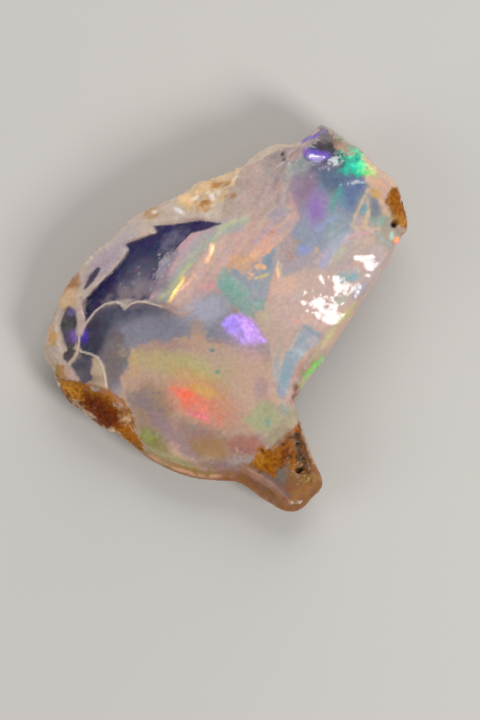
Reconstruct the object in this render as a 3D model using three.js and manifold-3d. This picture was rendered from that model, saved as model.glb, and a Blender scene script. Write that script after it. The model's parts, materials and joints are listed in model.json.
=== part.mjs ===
// A piece of rough precious opal, broken from a nodule: a thick rounded rim of rough skin along the left and
// the top, and glassy shell-shaped breaks over the face, the right side and the tail. It lies on a worn flat
// underneath, with its broken face up.
// Millimetres, +Z up. The origin is under the middle of the stone, on the surface that it rests on; +X runs
// across the face and +Y runs along it to the tip.

import * as THREE from "three";
import { mergeVertices } from "three/addons/utils/BufferGeometryUtils.js";
import Module from "manifold-3d";

const wasm = await Module();
wasm.setup();

// The stone's outline from above, clockwise from the tip.
const OUTLINE = [
  [7.8, 16.1], [9.0, 15.4], [10.7, 14.3], [12.5, 12.6], [13.8, 11.6], [14.5, 10.4], [14.7, 9.2], [15.15, 7.8],
  [14.7, 6.9], [13.8, 5.9], [13.6, 5.1], [12.7, 4.1], [11.7, 2.7], [10.4, 0.8], [9.2, -1.1], [8.2, -3.1],
  [7.6, -3.4], [6.8, -4.3], [5.8, -5.7], [5.3, -6.7], [5.7, -7.7], [6.3, -9.2], [7.2, -11.6], [8.0, -13.7],
  [7.0, -15.0], [6.1, -15.9], [5.4, -16.1], [4.4, -15.8], [2.9, -14.9], [1.6, -13.9], [0.8, -13.5], [-1.0, -13.4],
  [-2.8, -13.2], [-5.2, -12.3], [-7.3, -11.1], [-9.8, -9.6], [-11.8, -8.0], [-13.7, -6.0], [-14.6, -4.4],
  [-15.1, -2.8], [-15.15, -1.8], [-14.9, -0.5], [-14.3, 0.9], [-13.7, 2.4], [-12.6, 3.9], [-10.8, 5.8],
  [-8.3, 8.1], [-6.6, 9.2], [-4.9, 10.0], [-3.4, 10.6], [-1.8, 11.6], [0.1, 12.2], [1.5, 13.1], [2.9, 14.1],
  [4.2, 14.6], [5.3, 14.4], [6.4, 14.9], [7.1, 15.5],
];
const OUTLINE_STEPS = 138;
const HEART = [-2.2, -1.0]; // the rings of the body shrink to this point

// The body before it broke: a low dome on a rounded rim.
const CROWN = { x: 3.5, y: 6.5, height: 9.1, fallX: 0.0095, fallY: 0.0125 };
const RIM = { height: 2.9, riseX: 0.03, riseY: 0.045, waver: 0.35, waverSpan: 6.0 };
const SHOULDER = { power: 5.0, root: 0.5 };
const BELLY = { depth: 3.7, power: 2.3, root: 0.66 };
const RINGS_ABOVE = [0.985, 0.955, 0.915, 0.87, 0.81, 0.74, 0.64, 0.5, 0.32, 0.16];
const RINGS_BELOW = [0.98, 0.93, 0.87, 0.8, 0.71, 0.6, 0.46, 0.3, 0.15];

// The rough skin: lumps that stand out of the rim on the left and the top, and all over the underside.
const SKIN = {
  edge: [-7.0, -12.5], edgeEnd: [5.5, 15.0], fade: 2.0, inner: 0.74, outer: 0.86,
  layers: [{ lump: 0.34, span: 2.6 }, { lump: 0.2, span: 1.1 }], inset: 0.2,
};

// Hollow breaks on the face. Each is sunk below the dome inside its own outline, by lip + depth in its centre and
// by less and less away from it.
const BASIN = {
  outline: [
    [-12.2, -2.6], [-12.05, -1.8], [-11.5, -0.8], [-10.7, 0.2], [-9.8, 0.9], [-8.9, 1.2], [-8.5, 0.7], [-7.9, 1.05],
    [-7.1, 1.3], [-6.0, 1.15], [-5.0, 0.7], [-4.1, 0.15], [-3.3, 0.2], [-2.5, 0.7], [-1.6, 1.6], [-1.0, 2.4],
    [0.4, 1.4], [1.9, 0.2], [3.2, -2.0], [3.3, -4.2], [3.0, -6.0], [3.8, -7.6], [4.2, -9.1], [3.0, -10.8],
    [0.8, -12.0], [-2.3, -12.3], [-5.0, -11.5], [-7.0, -10.3], [-7.7, -8.9], [-8.2, -7.4], [-9.2, -6.4], [-9.9, -5.4],
    [-10.3, -4.4], [-10.7, -3.5], [-11.2, -3.1], [-11.9, -3.1],
  ],
  centre: [-4.0, -5.6], reach: [9.6, 8.4], turn: 24, lip: 0.4, depth: 2.1,
};
const WINDOW = {
  outline: [
    [-6.4, 7.6], [-5.2, 7.95], [-3.4, 8.15], [-1.8, 8.1], [-0.4, 7.9], [-1.6, 7.3], [-2.9, 6.9], [-3.9, 6.1],
    [-4.6, 5.2], [-5.2, 4.1], [-5.8, 2.8], [-6.3, 1.6], [-7.2, 1.6], [-7.9, 1.4], [-8.4, 1.2], [-8.9, 1.5],
    [-9.9, 1.3], [-10.8, 0.7], [-11.4, 0.0], [-11.7, 0.5], [-11.9, 1.3], [-11.3, 1.9], [-10.2, 3.1], [-9.0, 4.2],
    [-8.1, 5.6], [-8.8, 6.1], [-7.3, 6.6], [-5.9, 7.1],
  ],
  centre: [-8.8, 4.4], reach: [9.6, 4.2], turn: 35, lip: 0.2, depth: 0.7,
};
const SKY_FACE = {
  outline: [
    [5.2, 12.8], [5.25, 11.1], [5.8, 9.6], [6.3, 8.4], [5.9, 7.6], [5.0, 6.6], [4.2, 5.9], [4.15, 4.7], [4.5, 3.4],
    [6.5, 4.0], [8.2, 5.0], [9.4, 6.1], [10.2, 6.7], [11.9, 7.1], [13.2, 6.4], [14.0, 5.8], [17.0, 5.4],
    [17.0, 10.0], [15.0, 13.0], [11.0, 15.6], [8.0, 14.2], [6.4, 14.0],
  ],
  centre: [10.2, 8.6], reach: [8.6, 6.6], turn: 60, lip: 0.3, depth: 1.5,
};
const CHIP = {
  outline: [
    [-0.4, 3.9], [1.5, 4.7], [2.9, 4.8], [4.0, 5.7], [3.95, 4.6], [3.4, 2.6], [2.9, 0.9], [2.1, 1.1], [0.9, 1.7],
    [-0.2, 2.9],
  ],
  centre: [3.0, 2.9], reach: [3.9, 3.0], turn: 50, lip: 0.05, depth: 0.7,
};
const SIDE_POCKET = {
  outline: [
    [-13.1, 1.0], [-12.6, 0.7], [-12.3, -0.2], [-12.4, -1.4], [-12.9, -2.3], [-13.5, -2.6], [-13.7, -1.6],
    [-13.9, -0.4], [-13.7, 0.3],
  ],
  centre: [-13.0, -0.8], reach: [2.6, 1.4], turn: 80, lip: 0.25, depth: 0.5,
};
const CORNER_POCKET = {
  outline: [
    [-12.9, -3.6], [-12.0, -3.4], [-11.3, -3.5], [-10.9, -4.3], [-11.3, -5.3], [-11.9, -5.3], [-12.7, -4.6],
  ],
  centre: [-11.8, -4.3], reach: [1.6, 1.3], turn: 0, lip: 0.2, depth: 0.35,
};
const SLIT = {
  outline: [[-10.4, 4.1], [-10.7, 4.2], [-11.5, 3.4], [-12.0, 2.5], [-11.8, 2.4], [-11.2, 2.9], [-10.7, 3.5]],
  centre: [-11.2, 3.3], reach: [1.8, 0.8], turn: 52, lip: 0.2, depth: 0.35,
};
const LONG_STEP = {
  outline: [
    [-5.5, 1.6], [-5.0, 1.3], [-4.2, 1.9], [-3.2, 3.2], [-2.1, 4.9], [-1.0, 6.6], [-0.6, 7.9], [-1.7, 7.2],
    [-2.9, 6.4], [-3.9, 5.2], [-4.6, 3.8],
  ],
  centre: [-3.9, 4.6], reach: [5.6, 1.9], turn: 56, lip: 0.12, depth: 0.45,
};
const SHORT_STEP = {
  outline: [
    [-3.6, 1.7], [-2.9, 1.9], [-1.9, 3.3], [-0.8, 5.2], [0.6, 7.6], [0.3, 8.8], [-0.5, 7.6], [-1.4, 5.7], [-2.4, 3.9],
  ],
  centre: [-1.9, 4.9], reach: [5.6, 1.8], turn: 57, lip: 0.12, depth: 0.4,
};
const HACKLE_STEP = {
  outline: [
    [1.6, 7.4], [3.4, 9.0], [4.6, 10.6], [4.7, 12.3], [4.2, 13.6], [3.0, 13.2], [2.2, 11.6], [1.4, 9.6],
  ],
  centre: [2.0, 10.6], reach: [4.4, 2.6], turn: 66, lip: 0.25, depth: 0.25,
};
const FACE_BREAKS = [
  BASIN, WINDOW, SKY_FACE, CHIP, SIDE_POCKET, CORNER_POCKET, SLIT, LONG_STEP, SHORT_STEP, HACKLE_STEP,
];
const BREAK_GRID = 0.75; // spacing of the points on a break's floor
const ABOVE = 16; // a height over the whole stone

// Flat breaks: inside its outline, everything beyond the plane goes. The normal points out of the stone.
const FLAT_BREAKS = [
  { // down the right side
    outline: [
      [2.0, 6.0], [12.0, 9.0], [15.0, 6.4], [18.0, 5.5], [9.0, -6.0], [5.6, -7.2], [4.6, -6.2], [3.2, -3.6],
      [2.4, 0.0],
    ],
    at: [11.6, 2.9, 5.4], normal: [0.36, -0.24, 0.9],
  },
  { // the steep wall under it
    outline: [[8.0, 9.0], [13.2, 6.2], [18.0, 5.0], [9.0, -6.0], [5.6, -7.2], [4.6, -5.6], [6.0, -2.0]],
    at: [11.85, 3.0, 2.9], normal: [0.82, -0.545, 0.2],
  },
  { // a dull blue face beside the notch
    outline: [
      [6.3, -0.5], [7.9, -1.3], [7.1, -2.4], [6.1, -3.6], [5.7, -5.1], [5.2, -6.0], [4.5, -5.6], [4.1, -3.9],
      [5.0, -1.9],
    ],
    at: [5.6, -3.2, 5.6], normal: [0.3, -0.36, 0.88],
  },
  { // the tail's top
    outline: [[3.4, -11.4], [4.6, -9.0], [7.4, -9.0], [10.0, -14.0], [6.0, -18.0], [1.6, -14.6]],
    at: [5.4, -13.4, 3.9], normal: [0.12, -0.22, 0.97],
  },
  { // the tail's lower side
    outline: [[0.6, -12.9], [2.4, -12.5], [5.2, -14.6], [7.0, -18.0], [0.6, -18.0]],
    at: [2.8, -14.2, 2.9], normal: [-0.35, -0.62, 0.7],
  },
  { // beside the tip
    outline: [[6.6, 17.0], [8.0, 14.8], [10.8, 13.2], [13.0, 11.4], [14.6, 9.0], [18.0, 9.0], [16.0, 17.0]],
    at: [12.6, 12.0, 5.2], normal: [0.5, 0.52, 0.69],
  },
  { // under the tip, on the left
    outline: [[3.4, 17.0], [3.6, 12.8], [5.6, 13.0], [7.4, 16.0], [7.0, 18.0]],
    at: [4.8, 14.2, 5.4], normal: [-0.35, 0.45, 0.82],
  },
];

// Shell-shaped scoops: each is an ellipsoid sunk into the stone.
const SCOOPS = [
  { at: [7.6, 13.6, 8.5], radii: [3.2, 2.1, 2.4], turn: 15 }, // the bowl under the tip
  { at: [-8.5, -8.0, -6.6], radii: [8.0, 6.0, 7.6], turn: -35 }, // underneath
  { at: [10.5, 9.5, -6.0], radii: [7.0, 5.0, 7.4], turn: 40 },
  { at: [13.2, -2.6, -1.2], radii: [4.6, 6.4, 3.4], turn: -33 },
  { at: [-12.5, 7.0, -3.4], radii: [7.0, 4.6, 5.4], turn: 42 },
  { at: [0.5, -15.4, -1.4], radii: [5.0, 3.0, 3.0], turn: -15 },
  { at: [13.75, 7.7, 5.9], radii: [0.3, 0.3, 1.6], turn: 0 }, // a deep pit in the right corner
  { at: [6.0, -12.5, 4.0], radii: [0.28, 0.22, 0.5], turn: 30 }, // gritty pits at the root of the tail
  { at: [5.4, -11.0, 4.4], radii: [0.2, 0.26, 0.5], turn: 0 },
  { at: [6.5, -11.4, 4.0], radii: [0.2, 0.2, 0.5], turn: 0 },
];

// One point of smooth noise, from -1 to 1, on a lattice with a spacing of 1.
function latticeValue(i, j, k) {
  let n = Math.imul(i, 374761393) ^ Math.imul(j, 668265263) ^ Math.imul(k, 1274126177);
  n = Math.imul(n ^ (n >>> 13), 1274126177);
  return (((n ^ (n >>> 16)) >>> 0) / 2147483647.5) - 1;
}

function smoothNoise(x, y, z) {
  const [i, j, k] = [Math.floor(x), Math.floor(y), Math.floor(z)];
  const ease = (t) => t * t * (3 - 2 * t);
  const [u, v, w] = [ease(x - i), ease(y - j), ease(z - k)];
  const along = (a, b, t) => a + (b - a) * t;
  const edge = (dj, dk) => along(latticeValue(i, j + dj, k + dk), latticeValue(i + 1, j + dj, k + dk), u);
  return along(along(edge(0, 0), edge(1, 0), v), along(edge(0, 1), edge(1, 1), v), w);
}

// From 0 below low to 1 above high.
const ramp = (low, high, value) => THREE.MathUtils.smoothstep(value, low, high);

const outlineCurve = new THREE.CatmullRomCurve3(
  OUTLINE.map(([x, y]) => new THREE.Vector3(x, y, 0)), true, "centripetal",
);
const rimPoints = outlineCurve.getSpacedPoints(OUTLINE_STEPS).slice(0, OUTLINE_STEPS);

// How far out a place lies, from 0 at the heart to 1 on the outline.
function shareOut(x, y) {
  const [dx, dy] = [x - HEART[0], y - HEART[1]];
  let best = 0;
  rimPoints.forEach((a, i) => {
    const b = rimPoints[(i + 1) % rimPoints.length];
    const [ax, ay, ex, ey] = [a.x - HEART[0], a.y - HEART[1], b.x - a.x, b.y - a.y];
    const cross = dx * ey - dy * ex;
    if (Math.abs(cross) < 1e-12) return;
    const along = (ax * ey - ay * ex) / cross; // how many times the place's own distance the edge is away
    const across = (ax * dy - ay * dx) / cross;
    if (along > 0 && across >= 0 && across <= 1) best = Math.max(best, 1 / along);
  });
  return best;
}

const rimHeight = (x, y) => RIM.height + RIM.riseX * x + RIM.riseY * y
  + RIM.waver * smoothNoise(x / RIM.waverSpan + 7, y / RIM.waverSpan, 0.5);
const domeHeight = (x, y) => CROWN.height - CROWN.fallX * (x - CROWN.x) ** 2 - CROWN.fallY * (y - CROWN.y) ** 2;

// The height of the unbroken top where share is the place's share of the way out.
function topHeight(x, y, share = shareOut(x, y)) {
  const edge = rimHeight(x, y);
  const rise = Math.max(0, 1 - share ** SHOULDER.power) ** SHOULDER.root;
  return edge + (domeHeight(x, y) - edge) * rise;
}

function bellyHeight(x, y, share) {
  return rimHeight(x, y) - BELLY.depth * Math.max(0, 1 - share ** BELLY.power) ** BELLY.root;
}

// How rough a place on the top is: 1 on the skin and 0 on glassy opal.
function skinAt(x, y, share) {
  const [ax, ay] = SKIN.edge;
  const [ex, ey] = [SKIN.edgeEnd[0] - ax, SKIN.edgeEnd[1] - ay];
  const leftOf = (ex * (y - ay) - ey * (x - ax)) / Math.hypot(ex, ey);
  return ramp(0, SKIN.fade, leftOf) * ramp(SKIN.inner, SKIN.outer, share);
}

function solidOf(geometry) {
  const bare = geometry.clone();
  bare.deleteAttribute("normal");
  bare.deleteAttribute("uv");
  const merged = mergeVertices(bare, 1e-4);
  return new wasm.Manifold(new wasm.Mesh({
    numProp: 3,
    vertProperties: merged.attributes.position.array,
    triVerts: new Uint32Array(merged.index.array),
  }));
}

// The unbroken piece: rings of points from the middle of the top, over the rim, to the middle of the underside.
function nodule() {
  const points = [];
  const rings = [
    ...[...RINGS_ABOVE].reverse().map((share) => ({ share, height: topHeight, rough: skinAt })),
    { share: 1, height: rimHeight, rough: skinAt },
    ...RINGS_BELOW.map((share) => ({ share, height: bellyHeight, rough: () => 1 })),
  ];
  const place = (x, y, z, amount) => {
    let lump = -SKIN.inset * amount;
    for (const layer of SKIN.layers)
      lump += layer.lump * amount * smoothNoise(x / layer.span, y / layer.span, z / layer.span);
    const out = new THREE.Vector3(x - HEART[0], y - HEART[1], 2 * (z - RIM.height)).normalize();
    points.push(x + lump * out.x, y + lump * out.y, z + lump * out.z);
  };
  place(HEART[0], HEART[1], topHeight(...HEART, 0), 0);
  for (const { share, height, rough } of rings)
    for (const rim of rimPoints) {
      const x = HEART[0] + (rim.x - HEART[0]) * share;
      const y = HEART[1] + (rim.y - HEART[1]) * share;
      place(x, y, height(x, y, share), rough(x, y, share));
    }
  place(HEART[0], HEART[1], bellyHeight(...HEART, 0), 1);

  const faces = [];
  const at = (ring, step) => 1 + ring * OUTLINE_STEPS + (step % OUTLINE_STEPS);
  const last = points.length / 3 - 1;
  for (let step = 0; step < OUTLINE_STEPS; step++) {
    faces.push(0, at(0, step + 1), at(0, step));
    for (let ring = 0; ring + 1 < rings.length; ring++) {
      const [a, b, c, d] = [at(ring, step), at(ring, step + 1), at(ring + 1, step), at(ring + 1, step + 1)];
      faces.push(a, b, d, a, d, c);
    }
    faces.push(last, at(rings.length - 1, step), at(rings.length - 1, step + 1));
  }
  const geometry = new THREE.BufferGeometry();
  geometry.setAttribute("position", new THREE.Float32BufferAttribute(points, 3));
  geometry.setIndex(faces);
  return solidOf(geometry);
}

const columnOver = (outline) => solidOf(new THREE.ExtrudeGeometry(
  new THREE.Shape(outline.map(([x, y]) => new THREE.Vector2(x, y))), { depth: ABOVE, bevelEnabled: false },
));

// What a hollow break takes away: a column over its outline, down to a floor that follows the dome.
function hollowCutter({ outline, centre, reach, turn, lip, depth }) {
  const box = new THREE.Box2().setFromPoints(outline.map(([x, y]) => new THREE.Vector2(x, y)));
  const size = box.getSize(new THREE.Vector2()).addScalar(1);
  const middle = box.getCenter(new THREE.Vector2());
  const block = new THREE.BoxGeometry(
    size.x, size.y, ABOVE, Math.ceil(size.x / BREAK_GRID), Math.ceil(size.y / BREAK_GRID), 1,
  );
  block.translate(middle.x, middle.y, ABOVE / 2);
  const point = block.getAttribute("position");
  const [cos, sin] = [Math.cos(THREE.MathUtils.degToRad(turn)), Math.sin(THREE.MathUtils.degToRad(turn))];
  for (let i = 0; i < point.count; i++) {
    if (point.getZ(i) > ABOVE / 2) continue;
    const [dx, dy] = [point.getX(i) - centre[0], point.getY(i) - centre[1]];
    const u = (dx * cos + dy * sin) / reach[0];
    const v = (dy * cos - dx * sin) / reach[1];
    const sunk = lip + depth * (1 - u * u - v * v);
    point.setZ(i, topHeight(point.getX(i), point.getY(i)) - sunk);
  }
  return solidOf(block).intersect(columnOver(outline));
}

function ballAt({ at, radii, turn }) {
  const round = Math.max(...radii) > 1 ? 40 : 12;
  const ball = new THREE.SphereGeometry(1, round, Math.round(round * 0.6));
  ball.scale(...radii);
  ball.rotateZ(THREE.MathUtils.degToRad(turn));
  ball.translate(...at);
  return solidOf(ball);
}

// Everything on the far side of a plane.
function beyond({ at, normal }) {
  const slab = new THREE.BoxGeometry(60, 60, 20);
  slab.translate(0, 0, 10);
  slab.applyQuaternion(
    new THREE.Quaternion().setFromUnitVectors(new THREE.Vector3(0, 0, 1), new THREE.Vector3(...normal).normalize()),
  );
  slab.translate(...at);
  return solidOf(slab);
}

function stone() {
  let solid = nodule();
  for (const item of FACE_BREAKS) solid = solid.subtract(hollowCutter(item));
  for (const item of FLAT_BREAKS) solid = solid.subtract(beyond(item).intersect(columnOver(item.outline)));
  for (const item of SCOOPS) solid = solid.subtract(ballAt(item));
  return solid.subtract(beyond({ at: [0, 0, 0], normal: [0, 0, -1] }));
}

const cut = stone().getMesh();
const geometry = new THREE.BufferGeometry();
geometry.setAttribute("position", new THREE.BufferAttribute(new Float32Array(cut.vertProperties), 3));
geometry.setIndex(new THREE.BufferAttribute(new Uint32Array(cut.triVerts), 1));
geometry.computeBoundingBox();
const middle = geometry.boundingBox.getCenter(new THREE.Vector3());
geometry.translate(-middle.x, -middle.y, 0);
geometry.computeVertexNormals();

const opal = new THREE.Mesh(
  geometry,
  new THREE.MeshStandardMaterial({ color: "#c9ab98", roughness: 0.25, metalness: 0 }),
);
opal.name = "opal";

const piece = new THREE.Group();
piece.add(opal);
export default piece;
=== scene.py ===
"""A piece of rough precious opal, broken and unpolished, lying face up on a pale floor.

The stone is one piece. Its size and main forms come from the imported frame: here a copy of that solid gets its
fine surface, its skin, its milky and clear places and its play of colour. Lengths are in millimetres, which
MM turns to Blender's metres, and angles are in degrees.
"""
import json
import math
from dataclasses import dataclass
from typing import Callable

import bpy
import numpy as np
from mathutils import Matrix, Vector, noise

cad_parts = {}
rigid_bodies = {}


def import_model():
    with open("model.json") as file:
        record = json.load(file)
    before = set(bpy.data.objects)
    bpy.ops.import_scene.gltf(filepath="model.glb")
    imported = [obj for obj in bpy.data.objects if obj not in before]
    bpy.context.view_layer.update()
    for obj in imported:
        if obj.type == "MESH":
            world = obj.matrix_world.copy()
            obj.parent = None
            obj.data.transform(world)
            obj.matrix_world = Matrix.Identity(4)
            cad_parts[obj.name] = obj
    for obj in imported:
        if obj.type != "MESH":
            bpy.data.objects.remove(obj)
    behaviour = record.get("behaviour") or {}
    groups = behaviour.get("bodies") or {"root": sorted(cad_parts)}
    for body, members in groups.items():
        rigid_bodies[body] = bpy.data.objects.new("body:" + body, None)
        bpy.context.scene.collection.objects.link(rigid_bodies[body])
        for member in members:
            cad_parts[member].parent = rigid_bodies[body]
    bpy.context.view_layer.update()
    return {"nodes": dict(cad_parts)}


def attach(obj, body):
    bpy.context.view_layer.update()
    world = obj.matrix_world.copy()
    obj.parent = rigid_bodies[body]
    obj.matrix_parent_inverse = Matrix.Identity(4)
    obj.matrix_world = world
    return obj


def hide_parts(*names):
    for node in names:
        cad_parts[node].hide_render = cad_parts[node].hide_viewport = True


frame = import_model()

MM = 0.001

# The voxels of the stone's fine mesh, in mm. Smaller ones would give it more than 200,000 triangles.
FACET = 0.147

# The photograph's view: straight down, 12 pixels a millimetre, its middle a little beside the stone's.
PHOTO_HEIGHT = 720
PIXELS_PER_MM = 12
VIEW_MIDDLE = (1.2, -3.4)
LENS = 180.0
SENSOR = 36.0
# The height above the floor at which 12 pixels are a millimetre, and the nearest that the camera shows.
SCALE_HEIGHT = 3.5
NEAREST = 10

FLOOR_WIDTH = 1200

# Outlines seen from above, in mm from the middle of the stone, +y towards the tip: the rough skin, the hollow
# break in the lower half, the clear hollow under the ledge of skin, and the broad face at the upper right.
SKIN = [(5.3, 15.9), (6.2, 14.3), (4.9, 14.1), (3.0, 13.2), (1.4, 12.2), (0.5, 10.9), (-0.1, 9.5),
        (-0.3, 8.1), (-2.1, 8.1), (-4.2, 7.8), (-6.3, 7.7), (-5.7, 7.1), (-7.1, 6.6), (-8.7, 6.1),
        (-8.0, 5.8), (-8.2, 5.1), (-9.0, 4.2), (-10.5, 2.6), (-11.7, 1.6), (-11.7, 0.6), (-11.8, -0.3),
        (-12.1, -0.9), (-12.3, -2.2), (-12.1, -2.8), (-13.0, -3.9), (-13.3, -5.1), (-12.5, -6.1),
        (-11.1, -6.9), (-9.8, -7.8), (-8.7, -9.1), (-7.8, -10.6), (-6.5, -11.9), (-7.1, -17.0),
        (-18.0, -17.0), (-18.0, 18.2), (5.3, 18.2)]
BASIN = [(-12.2, -2.8), (-12.0, -1.7), (-11.4, -0.7), (-10.8, 0.1), (-10.0, 0.8), (-9.3, 1.2), (-8.5, 1.3),
         (-8.2, 0.9), (-7.8, 1.2), (-7.1, 1.4), (-6.1, 1.2), (-5.1, 0.9), (-4.6, 0.4), (-3.9, 0.1),
         (-3.1, 0.2), (-2.5, 0.8), (-1.7, 1.5), (-0.9, 1.6), (0.4, 0.9), (1.6, 0.3), (2.8, -0.8), (3.6, -2.2),
         (3.9, -4.0), (4.6, -5.4), (4.4, -7.0), (3.6, -9.0), (2.6, -10.2), (3.1, -11.5), (1.0, -12.6),
         (-3.0, -13.2), (-6.4, -12.0), (-7.6, -10.6), (-8.6, -9.1), (-9.7, -7.7), (-11.0, -6.8),
         (-11.6, -5.4), (-10.2, -5.4), (-10.2, -4.2), (-10.8, -3.2), (-11.6, -2.9)]
WINDOW = [(-6.3, 7.7), (-4.2, 7.8), (-2.1, 8.1), (-0.3, 7.8), (-1.5, 7.3), (-2.8, 7.0), (-3.7, 6.1),
          (-4.5, 5.1), (-5.1, 4.1), (-5.7, 2.8), (-6.3, 1.6), (-7.1, 1.4), (-7.7, 1.4), (-8.3, 1.1),
          (-9.0, 1.5), (-10.1, 1.1), (-11.0, 0.4), (-11.7, -0.3), (-11.7, 0.6), (-11.7, 1.6), (-10.5, 2.6),
          (-9.0, 4.2), (-8.2, 5.1), (-8.0, 5.8), (-8.7, 6.1), (-7.1, 6.6), (-5.7, 7.1)]
SKY_FACE = [(6.2, 14.0), (7.7, 14.9), (9.5, 14.3), (10.6, 13.2), (11.5, 11.7), (11.9, 10.3), (11.4, 8.9),
            (10.6, 7.2), (8.9, 6.0), (7.4, 5.1), (5.9, 3.9), (4.6, 3.5), (4.3, 4.7), (4.4, 5.9), (5.4, 7.1),
            (6.1, 8.1), (5.9, 9.4), (5.4, 11.1), (5.5, 12.8)]


@dataclass
class Mark:
    """A place of one colour on the stone: how far each point is outside it, and how it ends."""
    name: str
    distance: Callable
    colour: str
    soft: float
    torn: float
    strength: float


def area(name, corners, colour, soft, torn=0.0, strength=1.0):
    """A mark inside an outline. Its edge fades over soft mm and is torn by up to torn mm."""
    return Mark(name, lambda places: distance_to_outline(places, corners), colour, soft, torn, strength)


def glow(name, middle, reach, turn, colour, soft, torn=0.0, strength=1.0):
    """An oval mark: its half length and half width, and the turn of its length from +x in degrees."""
    return Mark(name, lambda places: distance_to_oval(places, middle, reach, turn), colour, soft, torn,
                strength)


def vein(name, course, half_width, colour, soft, torn=0.0, strength=1.0):
    """A mark along a course of points."""
    return Mark(name, lambda places: distance_to_course(places, course) - half_width, colour, soft, torn,
                strength)


def distance_to_course(places, course):
    """How far each place is from the nearest stretch between the course's points."""
    nearest = np.full(len(places), np.inf)
    for start, end in zip(np.array(course[:-1]), np.array(course[1:])):
        step = end - start
        along = np.clip((places - start) @ step / (step @ step), 0, 1)
        nearest = np.minimum(nearest, np.linalg.norm(places - start - along[:, None] * step, axis=1))
    return nearest


def distance_to_outline(places, corners):
    """The distance to the outline, negative inside it."""
    closed = [*corners, corners[0]]
    inside = np.zeros(len(places), dtype=bool)
    x, y = places.T
    for (x0, y0), (x1, y1) in zip(closed[:-1], closed[1:]):
        if y0 != y1:
            crosses = (y0 > y) != (y1 > y)
            inside ^= crosses & (x < (x1 - x0) * (y - y0) / (y1 - y0) + x0)
    away = distance_to_course(places, closed)
    return np.where(inside, -away, away)


def distance_to_oval(places, middle, reach, turn):
    """The distance to an oval, shorter along its length, so that its ends fade slowly."""
    angle = math.radians(turn)
    x, y = (places - middle).T
    along = (x * math.cos(angle) + y * math.sin(angle)) / reach[0]
    across = (y * math.cos(angle) - x * math.sin(angle)) / reach[1]
    return (np.hypot(along, across) - 1) * min(reach)


def smooth_step(value):
    """From 0 to 1 with soft ends."""
    held = np.clip(value, 0, 1)
    return held * held * (3 - 2 * held)


def rising(value, start, over):
    """0 up to start, 1 from start + over on."""
    return smooth_step((value - start) / over)


def cover(distance, soft):
    """1 inside a shape and 0 outside it, fading over soft mm across its edge."""
    return smooth_step(0.5 - distance / soft)


def clouds(points, size, shift=0.0, octaves=3):
    """Cloudy noise between about -1 and 1 at each point, its largest lumps about size mm wide.

    A shift takes it to another part of the noise.
    """
    move = Vector((shift, 2 * shift, -shift))
    return np.array([noise.fractal(Vector(point) / size + move, 0.8, 2.0, octaves) for point in points])


def linear(colour):
    """An sRGB hex colour as linear red, green and blue."""
    parts = [int(colour[place:place + 2], 16) / 255 for place in (1, 3, 5)]
    return np.array([part / 12.92 if part <= 0.04045 else ((part + 0.055) / 1.055) ** 2.4 for part in parts])


# Fine lines that run round the bowl under the tip, like those of a shell: colour and course.
SHELL_LINES = [
    ("#c4b6b6", [(4.6, 9.4), (5.0, 10.6), (5.4, 11.7), (5.8, 12.8), (6.2, 13.7), (6.9, 14.4), (7.7, 14.8)]),
    ("#857a84", [(4.2, 9.4), (4.6, 10.6), (5.0, 11.7), (5.5, 12.8), (6.0, 13.8), (6.7, 14.4), (7.6, 14.9)]),
    ("#c8b4ac", [(3.8, 9.4), (4.3, 10.6), (4.7, 11.7), (5.2, 12.8), (5.8, 13.8), (6.6, 14.5), (7.5, 14.9)]),
    ("#8d8086", [(3.4, 9.4), (3.9, 10.6), (4.4, 11.7), (5.0, 12.8), (5.6, 13.8), (6.4, 14.5), (7.4, 15.0)]),
    ("#cdbab4", [(2.9, 9.4), (3.5, 10.6), (4.0, 11.7), (4.7, 12.8), (5.4, 13.8), (6.3, 14.6), (7.3, 15.1)]),
    ("#958890", [(2.5, 9.4), (3.1, 10.6), (3.7, 11.7), (4.4, 12.8), (5.2, 13.9), (6.1, 14.6), (7.2, 15.1)]),
]

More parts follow.
